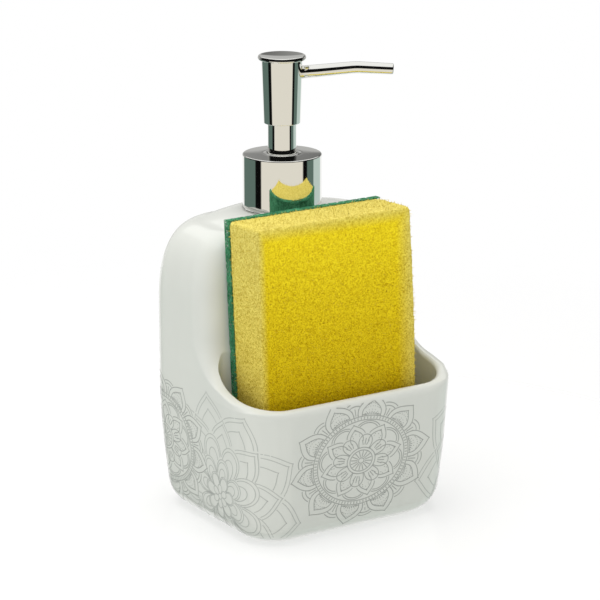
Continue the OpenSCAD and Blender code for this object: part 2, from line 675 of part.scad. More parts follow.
// The foam block: squeezed at its foot by the tray, a little fuller above, its edges softly rounded
foam_shares = [0, 0.3, 1];
foam_mid_shares = [0.12, 0.24, 0.36, 0.5, 0.65, 0.8];
function foam_level(z, inset) =
    let (bulge = foam_bulge * sin(180 * z / sponge_h) / 2,
         r = max(foam_edge_r, foam_foot_r * (1 - z / (rim_z - tray_floor))))
    [for (p = outline(sponge_w / 2 + bulge - inset, inset - pad_t - foam_t - foam_swell * z / sponge_h,
                      -pad_t - seat_gap - inset, r, foam_edge_r, 0)) [p.x + bulge, p.y, z]];
module sponge_foam() {
    color("gold") in_tray() skin(concat(
        [for (s = foam_shares) foam_level(foam_edge_r * s, foam_edge_r * round_in(1 - s))],
        [for (s = foam_mid_shares) foam_level(sponge_h * s, 0)],
        [for (s = [1, 0.3, 0]) foam_level(sponge_h - foam_edge_r * s, foam_edge_r * round_in(1 - s))]));
}

module scouring_pad() {
    color("seagreen") in_tray() translate([-sponge_w / 2, -pad_t, 0]) cube([sponge_w, pad_t, sponge_h]);
}

ceramic_body();
neck_insert();
sealing_washer();
pump_cylinder();
cylinder_cap();
inlet_ball();
return_spring();
dip_tube();
collar_shell();
collar_liner();
stem();
piston_seal();
outlet_ball();
stem_sleeve();
head_insert();
head_body();
head_cap();
spout();
sponge_foam();
scouring_pad();
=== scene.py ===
"""Looks of a glazed soap dispenser with a chromed lotion pump and a sponge standing in its tray.

Every piece is built in millimetres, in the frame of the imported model, and brought to metres at the end.
+Z is up, the tray faces -Y, and the pump's axis stands behind the middle of the body.
"""

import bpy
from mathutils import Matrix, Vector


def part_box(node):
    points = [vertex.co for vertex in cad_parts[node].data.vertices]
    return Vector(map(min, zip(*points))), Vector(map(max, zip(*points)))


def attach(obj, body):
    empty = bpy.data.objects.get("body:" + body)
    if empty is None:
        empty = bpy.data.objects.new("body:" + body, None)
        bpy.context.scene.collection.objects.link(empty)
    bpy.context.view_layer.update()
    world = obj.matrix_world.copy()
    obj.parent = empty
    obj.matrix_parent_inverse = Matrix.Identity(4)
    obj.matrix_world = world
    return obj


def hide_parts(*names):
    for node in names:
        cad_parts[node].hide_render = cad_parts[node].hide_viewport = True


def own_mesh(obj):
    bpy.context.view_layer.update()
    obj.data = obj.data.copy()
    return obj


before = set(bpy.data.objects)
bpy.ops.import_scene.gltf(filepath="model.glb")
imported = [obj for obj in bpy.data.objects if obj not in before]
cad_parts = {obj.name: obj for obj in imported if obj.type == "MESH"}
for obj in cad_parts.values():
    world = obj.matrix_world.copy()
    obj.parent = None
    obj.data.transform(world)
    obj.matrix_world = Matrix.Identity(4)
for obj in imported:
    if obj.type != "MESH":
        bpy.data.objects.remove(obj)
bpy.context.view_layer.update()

import logging
import math
import random
from dataclasses import dataclass
from enum import Enum
from typing import Callable, Sequence

import bmesh
import bpy
from mathutils import Matrix, Vector, noise

MM = 0.001
LOG = logging.getLogger("dispenser")

Point = tuple[float, float]
Colour = tuple[float, float, float]
Socket = bpy.types.NodeSocket


def node_mm(node: str) -> tuple[Vector, Vector]:
    """Lowest and highest corner of a CAD node, in millimetres."""
    low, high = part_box(node)
    return low / MM, high / MM


def linear(red: int, green: int, blue: int) -> Colour:
    """Turn a display colour of 0 to 255 into the linear values that shaders take.

    Args:
        red: red of the display colour.
        green: green of the display colour.
        blue: blue of the display colour.

    Returns:
        The linear colour.
    """
    def channel(value: int) -> float:
        """Linear value of one channel."""
        share = value / 255
        return share / 12.92 if share <= 0.04045 else ((share + 0.055) / 1.055) ** 2.4

    return channel(red), channel(green), channel(blue)


def clamp(value: float) -> float:
    """Hold a value between 0 and 1."""
    return min(1.0, max(0.0, value))


def round_in(share: float) -> float:
    """Inset of a quarter round at a share of its height, as a share of its width."""
    return 1 - math.sqrt(max(0.0, 1 - share * share))


def quarter(steps: int) -> list[float]:
    """Angles from 0 to a right angle in even steps, both ends among them."""
    return [math.pi / 2 * i / steps for i in range(steps + 1)]


class Graph:
    """A node tree with short calls that add and join its nodes."""

    def __init__(self, tree: bpy.types.NodeTree) -> None:
        """Start from an empty tree."""
        self.tree = tree
        tree.nodes.clear()

    def add(self, kind: str, inputs: dict | None = None, **settings: object) -> bpy.types.Node:
        """Add a node, set its properties and fill or join its inputs.

        Args:
            kind: the node's type, without the leading ShaderNode.
            inputs: values or output sockets by input name or number.
            settings: the node's own properties.

        Returns:
            The new node.
        """
        node = self.tree.nodes.new("ShaderNode" + kind)
        for name, value in settings.items():
            setattr(node, name, value)
        for key, value in (inputs or {}).items():
            if isinstance(value, bpy.types.NodeSocket):
                self.tree.links.new(value, node.inputs[key])
            elif isinstance(value, tuple) and node.inputs[key].type == "RGBA":
                node.inputs[key].default_value = (*value, 1)
            else:
                node.inputs[key].default_value = value
        return node

    def own_place(self) -> Socket:
        """Place in the object's own coordinates, in metres."""
        return self.add("TexCoord").outputs["Object"]

    def height(self, place: Socket) -> Socket:
        """Height of a place."""
        return self.add("SeparateXYZ", {0: place}).outputs[2]

    def noise(self, place: Socket, scale: float, detail: float, distortion: float = 0.0) -> Socket:
        """Noise at a place, by waves in a metre, octaves of finer waves and how much it is swirled."""
        inputs = {"Vector": place, "Scale": scale, "Detail": detail, "Distortion": distortion}
        return self.add("TexNoise", inputs).outputs[0]

    def math(self, operation: str, first: object, second: object = 0.0) -> Socket:
        """Result of a Math node, from two values or sockets."""
        return self.add("Math", {0: first, 1: second}, operation=operation).outputs[0]

    def mix(self, share: object, first: object, second: object) -> Socket:
        """Mixture of two colours, by the share of the second."""
        return self.add("Mix", {0: share, 6: first, 7: second}, data_type="RGBA").outputs[2]

    def shade(self, colour: Colour, value: Socket) -> Socket:
        """A colour made lighter or darker."""
        return self.add("HueSaturation", {"Color": colour, "Value": value}).outputs[0]

    def ramp(self, share: object, stops: Sequence[tuple[float, Colour]]) -> Socket:
        """Add a colour ramp.

        Args:
            share: the value that picks the colour.
            stops: places from 0 to 1 and their colours.

        Returns:
            The colour.
        """
        node = self.add("ValToRGB", {0: share})
        marks = node.color_ramp.elements
        while len(marks) < len(stops):
            marks.new(0.5)
        for mark, (place, colour) in zip(marks, stops):
            mark.position = place
            mark.color = (*colour, 1)
        return node.outputs[0]

    def range(self, value: object, low: float, high: float, start: float = 0,
              end: float = 1) -> Socket:
        """A value mapped from between low and high to between start and end, and held there."""
        inputs = {0: value, 1: low, 2: high, 3: start, 4: end}
        return self.add("MapRange", inputs, clamp=True).outputs[0]

    def bump(self, height: Socket, distance: float, strength: float,
             normal: Socket | None = None) -> Socket:
        """Add a relief.

        Args:
            height: its height at each place.
            distance: its depth in metres.
            strength: its strength.
            normal: the normal that it bends, if that is bent already.

        Returns:
            The bent normal.
        """
        inputs = {"Height": height, "Distance": distance, "Strength": strength}
        if normal is not None:
            inputs["Normal"] = normal
        return self.add("Bump", inputs).outputs[0]


class Finish:
    """A surface finish, made once and shared by the pieces that have it."""

    name = "finish"

    def shade(self, graph: Graph) -> dict:
        """Inputs of the Principled shader."""
        raise NotImplementedError

    def material(self) -> bpy.types.Material:
        """Build the finish's material, or give the one that exists.

        Returns:
            The material.
        """
        found = bpy.data.materials.get(self.name)
        if found:
            return found
        made = bpy.data.materials.new(self.name)
        made.use_nodes = True
        graph = Graph(made.node_tree)
        shader = graph.add("BsdfPrincipled", self.shade(graph))
        graph.add("OutputMaterial", {"Surface": shader.outputs[0]})
        return made


@dataclass(frozen=True)
class Glaze(Finish):
    """Clear gloss glaze over pale stoneware, bare and rough where the foot ring stands."""

    colour: Colour = linear(211, 213, 208)
    bare: Colour = linear(205, 194, 176)
    bare_to: float = 0.0001
    glazed_from: float = 0.0003
    roughness: float = 0.1
    bare_roughness: float = 0.85
    gloss: float = 0.36
    name: str = "glazed_stoneware"

    def shade(self, graph: Graph) -> dict:
        """Slow unevenness of the cast wall, faint mottling, and bare body under the foot.

        Args:
            graph: the material's nodes.

        Returns:
            Inputs of the Principled shader.
        """
        place = graph.own_place()
        glazed = graph.range(graph.height(place), self.bare_to, self.glazed_from)
        mottle = graph.range(graph.noise(place, 70.0, 3.0), 0.35, 0.65, 0.985, 1.0)
        grit = graph.math("MULTIPLY", graph.noise(place, 1800.0, 3.0),
                          graph.math("SUBTRACT", 1.0, glazed))
        waves = graph.bump(graph.noise(place, 38.0, 1.0), 0.0006, 0.12)
        return {
            "Base Color": graph.mix(glazed, self.bare, graph.shade(self.colour, mottle)),
            "Roughness": graph.range(glazed, 0.0, 1.0, self.bare_roughness, self.roughness),
            "IOR": 1.5,
            "Specular IOR Level": self.gloss,
            "Normal": graph.bump(grit, 0.0003, 0.5, waves),
        }


@dataclass(frozen=True)
class Print(Finish):
    """Pale grey transfer line under the glaze."""

    colour: Colour = linear(163, 166, 162)
    name: str = "printed_line"

    def shade(self, graph: Graph) -> dict:
        """A little uneven in its ink, with the glaze's gloss."""
        ink = graph.range(graph.noise(graph.own_place(), 900.0, 2.0), 0.3, 0.7, 0.94, 1.06)
        return {"Base Color": graph.shade(self.colour, ink), "Roughness": 0.14, "IOR": 1.5}


@dataclass(frozen=True)
class Chrome(Finish):
    """Bright chrome plating with a trace of polishing haze."""

    colour: Colour = linear(236, 236, 232)
    name: str = "bright_chrome"

    def shade(self, graph: Graph) -> dict:
        """Mirror metal whose gloss and flatness vary faintly.

        Args:
            graph: the material's nodes.

        Returns:
            Inputs of the Principled shader.
        """
        place = graph.own_place()
        return {
            "Base Color": self.colour,
            "Metallic": 1.0,
            "Roughness": graph.range(graph.noise(place, 260.0, 4.0), 0.3, 0.8, 0.02, 0.05),
            "Normal": graph.bump(graph.noise(place, 150.0, 1.0), 0.0001, 0.05),
        }


@dataclass(frozen=True)
class Steel(Finish):
    """Drawn or ground steel with fine lines."""

    colour: Colour = linear(190, 191, 192)
    name: str = "drawn_steel"

    def shade(self, graph: Graph) -> dict:
        """Metal with a fine grain in colour and gloss.

        Args:
            graph: the material's nodes.

        Returns:
            Inputs of the Principled shader.
        """
        grain = graph.noise(graph.own_place(), 2400.0, 3.0)
        return {
            "Base Color": graph.shade(self.colour, graph.range(grain, 0.3, 0.7, 0.9, 1.05)),
            "Metallic": 1.0,
            "Roughness": graph.range(grain, 0.3, 0.7, 0.18, 0.3),
        }


@dataclass(frozen=True)
class Plastic(Finish):
    """Moulded plastic with a fine spark-eroded texture."""

    colour: Colour = linear(236, 236, 232)
    roughness: float = 0.38
    clear: float = 0.0
    name: str = "moulded_plastic"

    def shade(self, graph: Graph) -> dict:
        """Even colour with faint clouding and a fine texture in relief.

        Args:
            graph: the material's nodes.

        Returns:
            Inputs of the Principled shader.
        """
        place = graph.own_place()
        cloud = graph.range(graph.noise(place, 220.0, 2.0), 0.3, 0.7, 0.96, 1.02)
        return {
            "Base Color": graph.shade(self.colour, cloud),
            "Roughness": self.roughness,
            "Transmission Weight": self.clear,
            "IOR": 1.49,
            "Normal": graph.bump(graph.noise(place, 3200.0, 2.0), 0.00005, 0.25),
        }


@dataclass(frozen=True)
class Foam(Finish):
    """Open-cell foam, with painted shade in its cells and towards its foot, and painted sheen that pales its
    cut sides and the margins of its front.
    """

    wall: Colour = linear(255, 232, 44)
    # Painted shade: the darker colour inside the open cells, where shade falls.
    pore: Colour = linear(194, 156, 4)
    # Painted shade: wall and cell colours for the foot, darker as if less light reached it.
    painted_shade_wall: Colour = linear(212, 182, 18)
    painted_shade_pore: Colour = linear(150, 114, 3)
    # Painted sheen: the pale colours of the cut sides, where grazing light pales the foam.
    cut: Colour = linear(231, 217, 122)
    sheen_cut_pore: Colour = linear(166, 142, 30)
    # Painted shade towards the foot: none above the first height, full below the second, in metres.
    painted_shade_top: float = 0.122
    painted_shade_full_below: float = 0.05
    name: str = "open_cell_foam"

    def shade(self, graph: Graph) -> dict:
        """Cells of two sizes and a fine grain, with the skin's own pores, painted shade in the cells and
        towards the foot, and painted sheen on the cut sides.

        Args:
            graph: the material's nodes.

        Returns:
            Inputs of the Principled shader.
        """
        def attribute(name: str) -> Socket:
            """An attribute of the foam's skin."""
            return graph.add("Attribute", attribute_name=name).outputs["Fac"]

        place = graph.own_place()
        sizes = [graph.add("TexVoronoi", {"Vector": place, "Scale": scale}).outputs[0]
                 for scale in (1500.0, 900.0)]
        cells = graph.math("ADD", *[graph.math("MULTIPLY", size, 0.5) for size in sizes])
        # Painted shade in the cells, by their depth on the skin and by the shader's cells.
        painted_pore_shade = graph.math("ADD", graph.math("MULTIPLY", attribute("pore"), 0.55),
                         graph.math("SUBTRACT", 0.55, cells))
        up = graph.height(place)
        # Painted shade: 0 high on the foam, rising to 1 towards its foot.
        low = graph.range(up, self.painted_shade_top, self.painted_shade_full_below)
        speckle = graph.range(graph.noise(place, 2300.0, 1.0), 0.3, 0.7, -0.55, 0.55)
        grain = graph.math("MULTIPLY", speckle, graph.range(up, 0.125, 0.1, 0.45, 1.0))
        share = graph.range(graph.math("ADD", painted_pore_shade, grain), -0.3, 0.8)
        face = graph.mix(share, graph.mix(low, self.wall, self.painted_shade_wall),
                         graph.mix(low, self.pore, self.painted_shade_pore))
        # Painted sheen on the cut sides and the front's margins, weaker towards the foot.
        sheen_and_torn = graph.math("MULTIPLY", attribute("sheen_and_torn"), graph.range(low, 0.0, 1.0, 0.95, 0.6))
        return {
            "Base Color": graph.mix(sheen_and_torn, face, graph.mix(share, self.cut, self.sheen_cut_pore)),
            "Roughness": 0.95,
            "Specular IOR Level": 0.02,
            "Normal": graph.bump(cells, 0.0005, 0.6),
        }


@dataclass(frozen=True)
class PadWeb(Finish):
    """Green non-woven web of the scouring pad."""

    light: Colour = linear(104, 190, 142)
    # Painted shade: the darker green stands for shade deep in the web.
    dark: Colour = linear(26, 104, 66)
    name: str = "scouring_fibre"

    def shade(self, graph: Graph) -> dict:
        """Tangled green fibres over darker depth, the darker green painted shade deep in the web, spread by
        noise.

        Args:
            graph: the material's nodes.

        Returns:
            Inputs of the Principled shader.
        """
        place = graph.own_place()
        tangle = graph.noise(place, 1500.0, 4.0, 1.2)
        cloud = graph.math("MULTIPLY", graph.noise(place, 130.0, 2.0), 0.35)
        share = graph.range(graph.math("ADD", tangle, cloud), 0.5, 0.85)
        return {
            "Base Color": graph.mix(share, self.dark, self.light),
            "Roughness": 0.7,
            "Specular IOR Level": 0.3,
            "Normal": graph.bump(tangle, 0.0006, 0.8),
        }


@dataclass(frozen=True)
class Rubber(Finish):
    """Soft dark sealing rubber."""

    colour: Colour = linear(52, 52, 52)
    name: str = "sealing_rubber"

    def shade(self, graph: Graph) -> dict:
        """Matt with a powdery bloom."""
        bloom = graph.range(graph.noise(graph.own_place(), 600.0, 3.0), 0.3, 0.7, 0.85, 1.2)
        return {"Base Color": graph.shade(self.colour, bloom), "Roughness": 0.65}


class Seam(Enum):
    """How a piece's edges are finished: the width of their small bevel, in millimetres."""

    SMOOTH = 0.0
    PLATED = 0.08


def link_object(name: str, data: bpy.types.ID | None) -> bpy.types.Object:
    """Make an object of some data and link it to the scene.

    Args:
        name: the object's name.
        data: its mesh, curve, camera or light.

    Returns:
        The object.
    """
    made = bpy.data.objects.new(name, data)
    bpy.context.scene.collection.objects.link(made)
    return made


def mesh_of(bm: bmesh.types.BMesh, name: str) -> bpy.types.Mesh:
    """Write a bmesh to a new mesh.

    Args:
        bm: the bmesh, which is freed.
        name: the mesh's name.

    Returns:
        The mesh.
    """
    mesh = bpy.data.meshes.new(name)
    bm.to_mesh(mesh)
    bm.free()
    return mesh


def settled(made: bpy.types.Object, *helpers: bpy.types.Object) -> bpy.types.Mesh:
    """Take the final mesh of an object that only serves to make it.

    Args:
        made: the object, which is removed.
        helpers: objects that its modifiers use, which are removed too.

    Returns:
        The mesh with its modifiers applied.
    """
    bpy.context.view_layer.update()
    mesh = bpy.data.meshes.new_from_object(made.evaluated_get(bpy.context.evaluated_depsgraph_get()))
    for used in (made, *helpers):
        bpy.data.objects.remove(used)
    return mesh


def finish_mesh(bm: bmesh.types.BMesh, name: str, body: str, finish: Finish,
                stands_for: Sequence[str] = (), seam: Seam = Seam.SMOOTH) -> bpy.types.Object:
    """Turn a bmesh in millimetres into a finished piece that rides on a body.

    Args:
        bm: the bmesh, which is freed.
        name: the piece's name.
        body: the body that it rides on.
        finish: the piece's finish.
        stands_for: CAD nodes that it replaces.
        seam: how its edges are finished.

    Returns:
        The piece.
    """
    bmesh.ops.scale(bm, vec=(MM, MM, MM), verts=bm.verts)
    for face in bm.faces:
        face.smooth = True
    mesh = mesh_of(bm, name)
    piece = link_object(name, mesh)
    mesh.materials.append(finish.material())
    if seam is not Seam.SMOOTH:
        bevel = piece.modifiers.new("eased edges", "BEVEL")
        bevel.width = seam.value * MM
        bevel.segments = 2
        bevel.limit_method = "ANGLE"
        bevel.angle_limit = math.radians(35)
        bevel.use_clamp_overlap = True
        weighted = piece.modifiers.new("even shading", "WEIGHTED_NORMAL")
        weighted.keep_sharp = True
    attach(piece, body)
    if stands_for:
        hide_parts(*stands_for)
    LOG.info("%s: %d faces on %s", name, len(mesh.polygons), body)
    return piece


def loop_edges(bm: bmesh.types.BMesh, ring: list) -> list:
    """Edges of a closed ring of vertices, in order."""
    return [bm.edges.get(pair) for pair in zip(ring, ring[1:] + ring[:1])]


def extrude(bm: bmesh.types.BMesh, verts: list, edges: list) -> tuple[list, list]:
    """Extrude a chain of edges once.

    Args:
        bm: the bmesh.
        verts: the chain's vertices.
        edges: its edges.

    Returns:
        The new vertices in the same order, and the new faces.
    """
    made = bmesh.ops.extrude_edge_only(bm, edges=edges)["geom"]
    fresh = {v for v in made if isinstance(v, bmesh.types.BMVert)}
    partners = [next(e.other_vert(v) for e in v.link_edges if e.other_vert(v) in fresh) for v in verts]
    return partners, [f for f in made if isinstance(f, bmesh.types.BMFace)]


def loft(levels: Sequence[Sequence[Vector]], capped: bool = True) -> bmesh.types.BMesh:
    """Skin closed rings of equal length, the lowest first.

    Args:
        levels: the rings' points.
        capped: whether both ends are closed.

    Returns:
        The skin as a bmesh.
    """
    bm = bmesh.new()
    ring = first = bmesh.ops.create_circle(bm, segments=len(levels[0]), radius=1)["verts"]
    for k, places in enumerate(levels):
        if k:
            ring, _ = extrude(bm, ring, loop_edges(bm, ring))
        for vert, place in zip(ring, places):
            vert.co = place
    if capped:
        for end in (first, ring):
            bmesh.ops.contextual_create(bm, geom=loop_edges(bm, end))
    bmesh.ops.recalc_face_normals(bm, faces=bm.faces)
    return bm


def spun(profile: Sequence[Point], axis_y: float, steps: int = 128) -> bmesh.types.BMesh:
    """Spin a closed half profile about the pump's axis.

    Args:
        profile: points of radius and height, in millimetres.
        axis_y: the axis's distance behind the body's middle.
        steps: faces round the axis.

    Returns:
        The turned solid as a bmesh.
    """
    bm = bmesh.new()
    verts = [bm.verts.new((radius, axis_y, height)) for radius, height in profile]
    edges = [bm.edges.new((a, b)) for a, b in zip(verts, verts[1:] + verts[:1])
             if not (a.co.x < 1e-6 and b.co.x < 1e-6)]
    bmesh.ops.spin(bm, geom=verts + edges, cent=(0, axis_y, 0), axis=(0, 0, 1), angle=math.tau,
                   steps=steps, use_merge=True)
    bmesh.ops.remove_doubles(bm, verts=bm.verts, dist=1e-4)
    bmesh.ops.recalc_face_normals(bm, faces=bm.faces)
    return bm


def arc(x: float, y: float, radius: float, start: float, end: float, steps: int = 8) -> list[Point]:
    """Points of an arc about a centre in a profile or an outline, between two angles in degrees."""
    angles = [math.radians(start + (end - start) * i / steps) for i in range(steps + 1)]
    return [(x + radius * math.cos(a), y + radius * math.sin(a)) for a in angles]


@dataclass
class CeramicBody:
    """The cast and glazed body: soap tower, sponge tray and chamber in one piece."""

    rim_flare: float = 1.1
    corner_r: float = 17.3
    side_bow: float = 0.3
    wall: float = 4.4
    foot_draw: float = 4.0
    foot_draw_h: float = 50.4
    foot_edge_h: float = 10.2
    foot_edge_in: float = 7.8
    foot_recess: float = 1.2
    foot_ring_w: float = 6.0
    floor_t: float = 6.0
    roof_t: float = 5.72
    shoulder_h: float = 32.1
    shoulder_side: float = 16.5
    shoulder_back: float = 8.0
    shoulder_front: float = 1.2
    dome_rise: float = 2.8
    dome_power: float = 1.6
    land_r: float = 17.0
    rim_z: float = 56.4
    rim_rise: float = math.radians(13)
    rim_edge_out: float = 2.4
    rim_edge_drop: float = 3.5
    rim_edge_in: float = 2.0
    rim_flare_h: float = 16.0
    rim_side_edge: float = 5.0
    tray_floor: float = 15.5
    tray_floor_r: float = 3.0
    tray_back_r: float = 4.0
    tower_front: float = 10.2
    tower_lean: float = math.radians(3)
    tower_fillet_r: float = 18.0
    tower_edge_r: float = 10.0
    tray_back_step: float = 0.6
    chamber_floor_r: float = 5.0
    neck_hole_r: float = 13.0
    pump_y: float = 15.4
    side_power: float = 2.7
    back_power: float = 1.6
    draw_power: float = 1.65
    corner_steps: int = 20
    edge_steps: int = 10
    edge_round_steps: int = 8
    draw_steps: int = 12
    rim_steps: int = 9
    sweep_steps: int = 20
    shoulder_steps: int = 26
    land_steps: int = 8
    tray_steps: int = 6
    chamber_steps: int = 24
    cutter_spare: float = 1.0
    merge_gap: float = 0.01
    sharp_from: float = math.radians(38)

    def __post_init__(self) -> None:
        """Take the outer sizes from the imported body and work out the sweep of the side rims."""
        low, high = node_mm("ceramic_body")
        self.half_w = (high.x - low.x) / 2 - self.rim_flare
        self.half_d = (high.y - low.y) / 2
        self.dome_z = high.z
        self.rim_y = -self.half_d + self.rim_edge_out
        tan_rise, tan_lean = math.tan(self.rim_rise), math.tan(self.tower_lean)
        reach = -self.tower_front - self.tower_fillet_r / math.cos(self.tower_lean) - self.rim_y
        self.sweep_z = ((self.rim_z + reach * tan_rise + self.tower_fillet_r / math.cos(self.rim_rise))
                        / (1 - tan_lean * tan_rise))
        self.sweep_y = self.tower_y(self.sweep_z) - self.tower_fillet_r / math.cos(self.tower_lean)
        self.sweep_from_y = self.sweep_y + self.tower_fillet_r * math.sin(self.rim_rise)
        step = math.asin(math.cos(self.tower_lean) - self.tray_back_step / self.tower_fillet_r)
        self.tray_back_z = self.sweep_z - self.tower_fillet_r * math.cos(step)
        self.shoulder_top = self.dome_z - self.dome_rise
        self.shoulder_z = self.shoulder_top - self.shoulder_h
        self.chamber_top = self.dome_z - self.roof_t

    def tower_y(self, z: float) -> float:
        """Depth of the tower's front face at a height."""
        return -self.tower_front + z * math.tan(self.tower_lean)

    def rim_at(self, y: float) -> float:
        """Height of the sloping rim at a depth."""
        return self.rim_z + (y - self.rim_y) * math.tan(self.rim_rise)

    def crest_z(self, y: float) -> float:
        """Height of the crest of the walls.

        Args:
            y: depth at which it is asked.

        Returns:
            The height.
        """
        if y < self.sweep_from_y:
            return self.rim_at(max(y, self.rim_y))
        return self.sweep_z - math.sqrt(max(0.0, self.tower_fillet_r ** 2 - (y - self.sweep_y) ** 2))

    def foot_in(self, z: float) -> float:
        """Inset of the outline near the foot, at a height."""
        draw = self.foot_draw * max(0.0, 1 - z / self.foot_draw_h) ** self.draw_power
        return draw + self.foot_edge_in * round_in(max(0.0, 1 - z / self.foot_edge_h))

    def shoulder_at(self, z: float, power: float) -> float:
        """Share of the shoulder's inset at a height, by the power of its curve."""
        share = clamp((z - self.shoulder_z) / self.shoulder_h)
        return 1 - (1 - share ** power) ** (1 / power)

    def outline(self, hw: float, front: float, back: float, rf: float, rb: float) -> list[Point]:
        """Rounded rectangle from front to back.

        Args:
            hw: half its width.
            front: its front depth.
            back: its back depth.
            rf: radius of its front corners.
            rb: radius of its back corners.

        Returns:
            Its points, anticlockwise from the right of the back.
        """
        corners = [arc(x, y, r, start, start + 90, self.corner_steps)
                   for x, y, r, start in ((hw - rb, back - rb, rb, 0), (rb - hw, back - rb, rb, 90),
                                          (rf - hw, front + rf, rf, 180), (hw - rf, front + rf, rf, 270))]
        points: list[Point] = []
        for own, after in zip(corners, corners[1:] + corners[:1]):
            (x0, y0), (x1, y1) = own[-1], after[0]
            points += own
            spans = self.edge_steps + 1
            points += [(x0 + (x1 - x0) * i / spans, y0 + (y1 - y0) * i / spans) for i in range(1, spans)]
        return points

    def raised(self, point: Point, z: float) -> Vector:
        """Bow a point of an outline outwards, flare it near the lip and raise it.

        Args:
            point: the point.
            z: the height that it goes to.

        Returns:
            The place.
        """
        share = self.side_bow / self.half_w
        x = point[0] * (1 - share * (point[1] / self.half_d) ** 2)
        y = point[1] * (1 - share * (point[0] / self.half_w) ** 2)
        flare = self.rim_flare * clamp(1 - (self.rim_z - z) / self.rim_flare_h) ** 2
        return Vector((x * (1 + flare * clamp(-2 * y / self.half_d) / self.half_w), y, z))

    def level(self, hw: float, front: float, back: float, rf: float, rb: float, z: float) -> list[Vector]:
        """One level of a lofted form, with the sizes that outline takes."""
        return [self.raised(p, z) for p in self.outline(hw, front, back, rf, rb)]

    def body_level(self, z: float) -> list[Vector]:
        """Level of the whole body below the tray's rim.

        Args:
            z: its height.

        Returns:
            Its points.
        """
        i = self.foot_in(z)
        r = self.corner_r - i / 2
        return self.level(self.half_w - i, i - self.half_d, self.half_d - i, r, r, z)

    def rim_level(self, y: float, z: float) -> list[Vector]:
        """Level at a height whose front edge is the rim at a depth."""
        rf = max(self.rim_side_edge, self.corner_r - (y + self.half_d))
        return self.level(self.half_w, y, self.half_d, rf, self.corner_r, z)

    def sweep_level(self, share: float) -> list[Vector]:
        """Level in the sweep of the side rims up into the tower.

        Args:
            share: how far up the sweep it lies.

        Returns:
            Its points.
        """
        a = self.rim_rise + (math.pi / 2 - self.tower_lean - self.rim_rise) * share
        edge = self.rim_side_edge + (self.tower_edge_r - self.rim_side_edge) * share
        return self.level(self.half_w, self.sweep_y + self.tower_fillet_r * math.sin(a), self.half_d, edge,
                          self.corner_r, self.sweep_z - self.tower_fillet_r * math.cos(a))

    def tower_level(self, z: float) -> list[Vector]:
        """Level of the tower and its shoulder.

        Args:
            z: its height.

        Returns:
            Its points.
        """
        side, back = self.shoulder_at(z, self.side_power), self.shoulder_at(z, self.back_power)
        half_w = self.half_w - self.shoulder_side * side
        edge = self.tower_edge_r + self.shoulder_side * side / 4
        return self.level(half_w, self.tower_y(z) + self.shoulder_front * side,
                          self.half_d - self.shoulder_back * back, edge, self.corner_r, z)

    def land(self) -> list[list[Vector]]:
        """Levels from the shoulder's top in to the round neck land, a slight crown between them.

        Returns:
            The levels.
        """
        outer = self.tower_level(self.shoulder_top)
        corner = 0.98 * self.land_r
        inner = self.level(self.land_r, self.pump_y - self.land_r, self.pump_y + self.land_r,
                           corner, corner, self.dome_z)
        levels = []
        for i in range(1, self.land_steps + 1):
            s = i / self.land_steps
            z = self.shoulder_top + self.dome_rise * (1 - (1 - s) ** self.dome_power)
            levels.append([Vector((*a.lerp(b, s).xy, z)) for a, b in zip(outer, inner)])
        return levels

    def outside(self) -> bmesh.types.BMesh:
        """Skin of the outside, from the foot to the neck land.

        Returns:
            The skin.
        """
        turns = quarter(self.edge_round_steps)
        levels = [self.body_level(self.foot_edge_h * (1 - math.cos(a))) for a in turns]
        span = self.foot_draw_h - self.foot_edge_h
        levels += [self.body_level(self.foot_edge_h + span * i / self.draw_steps)
                   for i in range(1, self.draw_steps + 1)]
        levels += [self.rim_level(self.rim_y - self.rim_edge_out * math.cos(a),
                                  self.rim_z - self.rim_edge_drop * (1 - math.sin(a))) for a in turns]
        for i in range(1, self.rim_steps):
            y = self.rim_y + (self.sweep_from_y - self.rim_y) * i / self.rim_steps
            levels.append(self.rim_level(y, self.rim_at(y)))
        levels += [self.sweep_level(i / self.sweep_steps) for i in range(self.sweep_steps + 1)]
        levels += [self.tower_level(self.shoulder_z + self.shoulder_h * math.sin(a))
                   for a in quarter(self.shoulder_steps)]
        return loft(levels + self.land())

    def tray_level(self, outline_z: float, out: float, z: float) -> list[Vector]:
        """Level of the tray's hollow.

        Args:
            outline_z: height whose outline it has.
            out: distance by which the outline is grown.
            z: its own height.

        Returns:
            Its points.
        """
        i = self.foot_in(max(outline_z, self.foot_edge_h)) + self.wall
        back = self.tower_y(max(outline_z, self.tray_floor)) - self.tray_back_step
        return self.level(self.half_w - i + out, i - self.half_d - out, back, self.corner_r - i / 2,
                          self.tray_back_r, z)

    def tray(self) -> bmesh.types.BMesh:
        """Skin of the tray's hollow, its top edge rounded along the crest of the walls.

        Returns:
            The skin.
        """
        levels = []
        for a in quarter(self.tray_steps):
            s = 1 - math.cos(a)
            z = self.tray_floor + self.tray_floor_r * s
            levels.append(self.tray_level(z, -self.tray_floor_r * round_in(1 - s), z))
        wall_h = self.rim_z - self.tray_floor - 2 * self.tray_floor_r
        for i in range(1, self.tray_steps):
            z = self.tray_floor + self.tray_floor_r + wall_h * i / self.tray_steps
            levels.append(self.tray_level(z, 0, z))
        for a in quarter(self.edge_round_steps):
            drop = self.rim_edge_in * (1 - math.sin(a))
            flat = self.tray_level(self.tray_back_z, self.rim_edge_in * (1 - math.cos(a)), self.rim_z)
            levels.append([Vector((p.x, p.y, self.crest_z(p.y) - drop)) for p in flat])
        levels += [self.tray_level(self.tray_back_z, self.rim_edge_in + self.cutter_spare, z)
                   for z in (self.sweep_z, self.dome_z + self.cutter_spare)]
        return loft(levels)

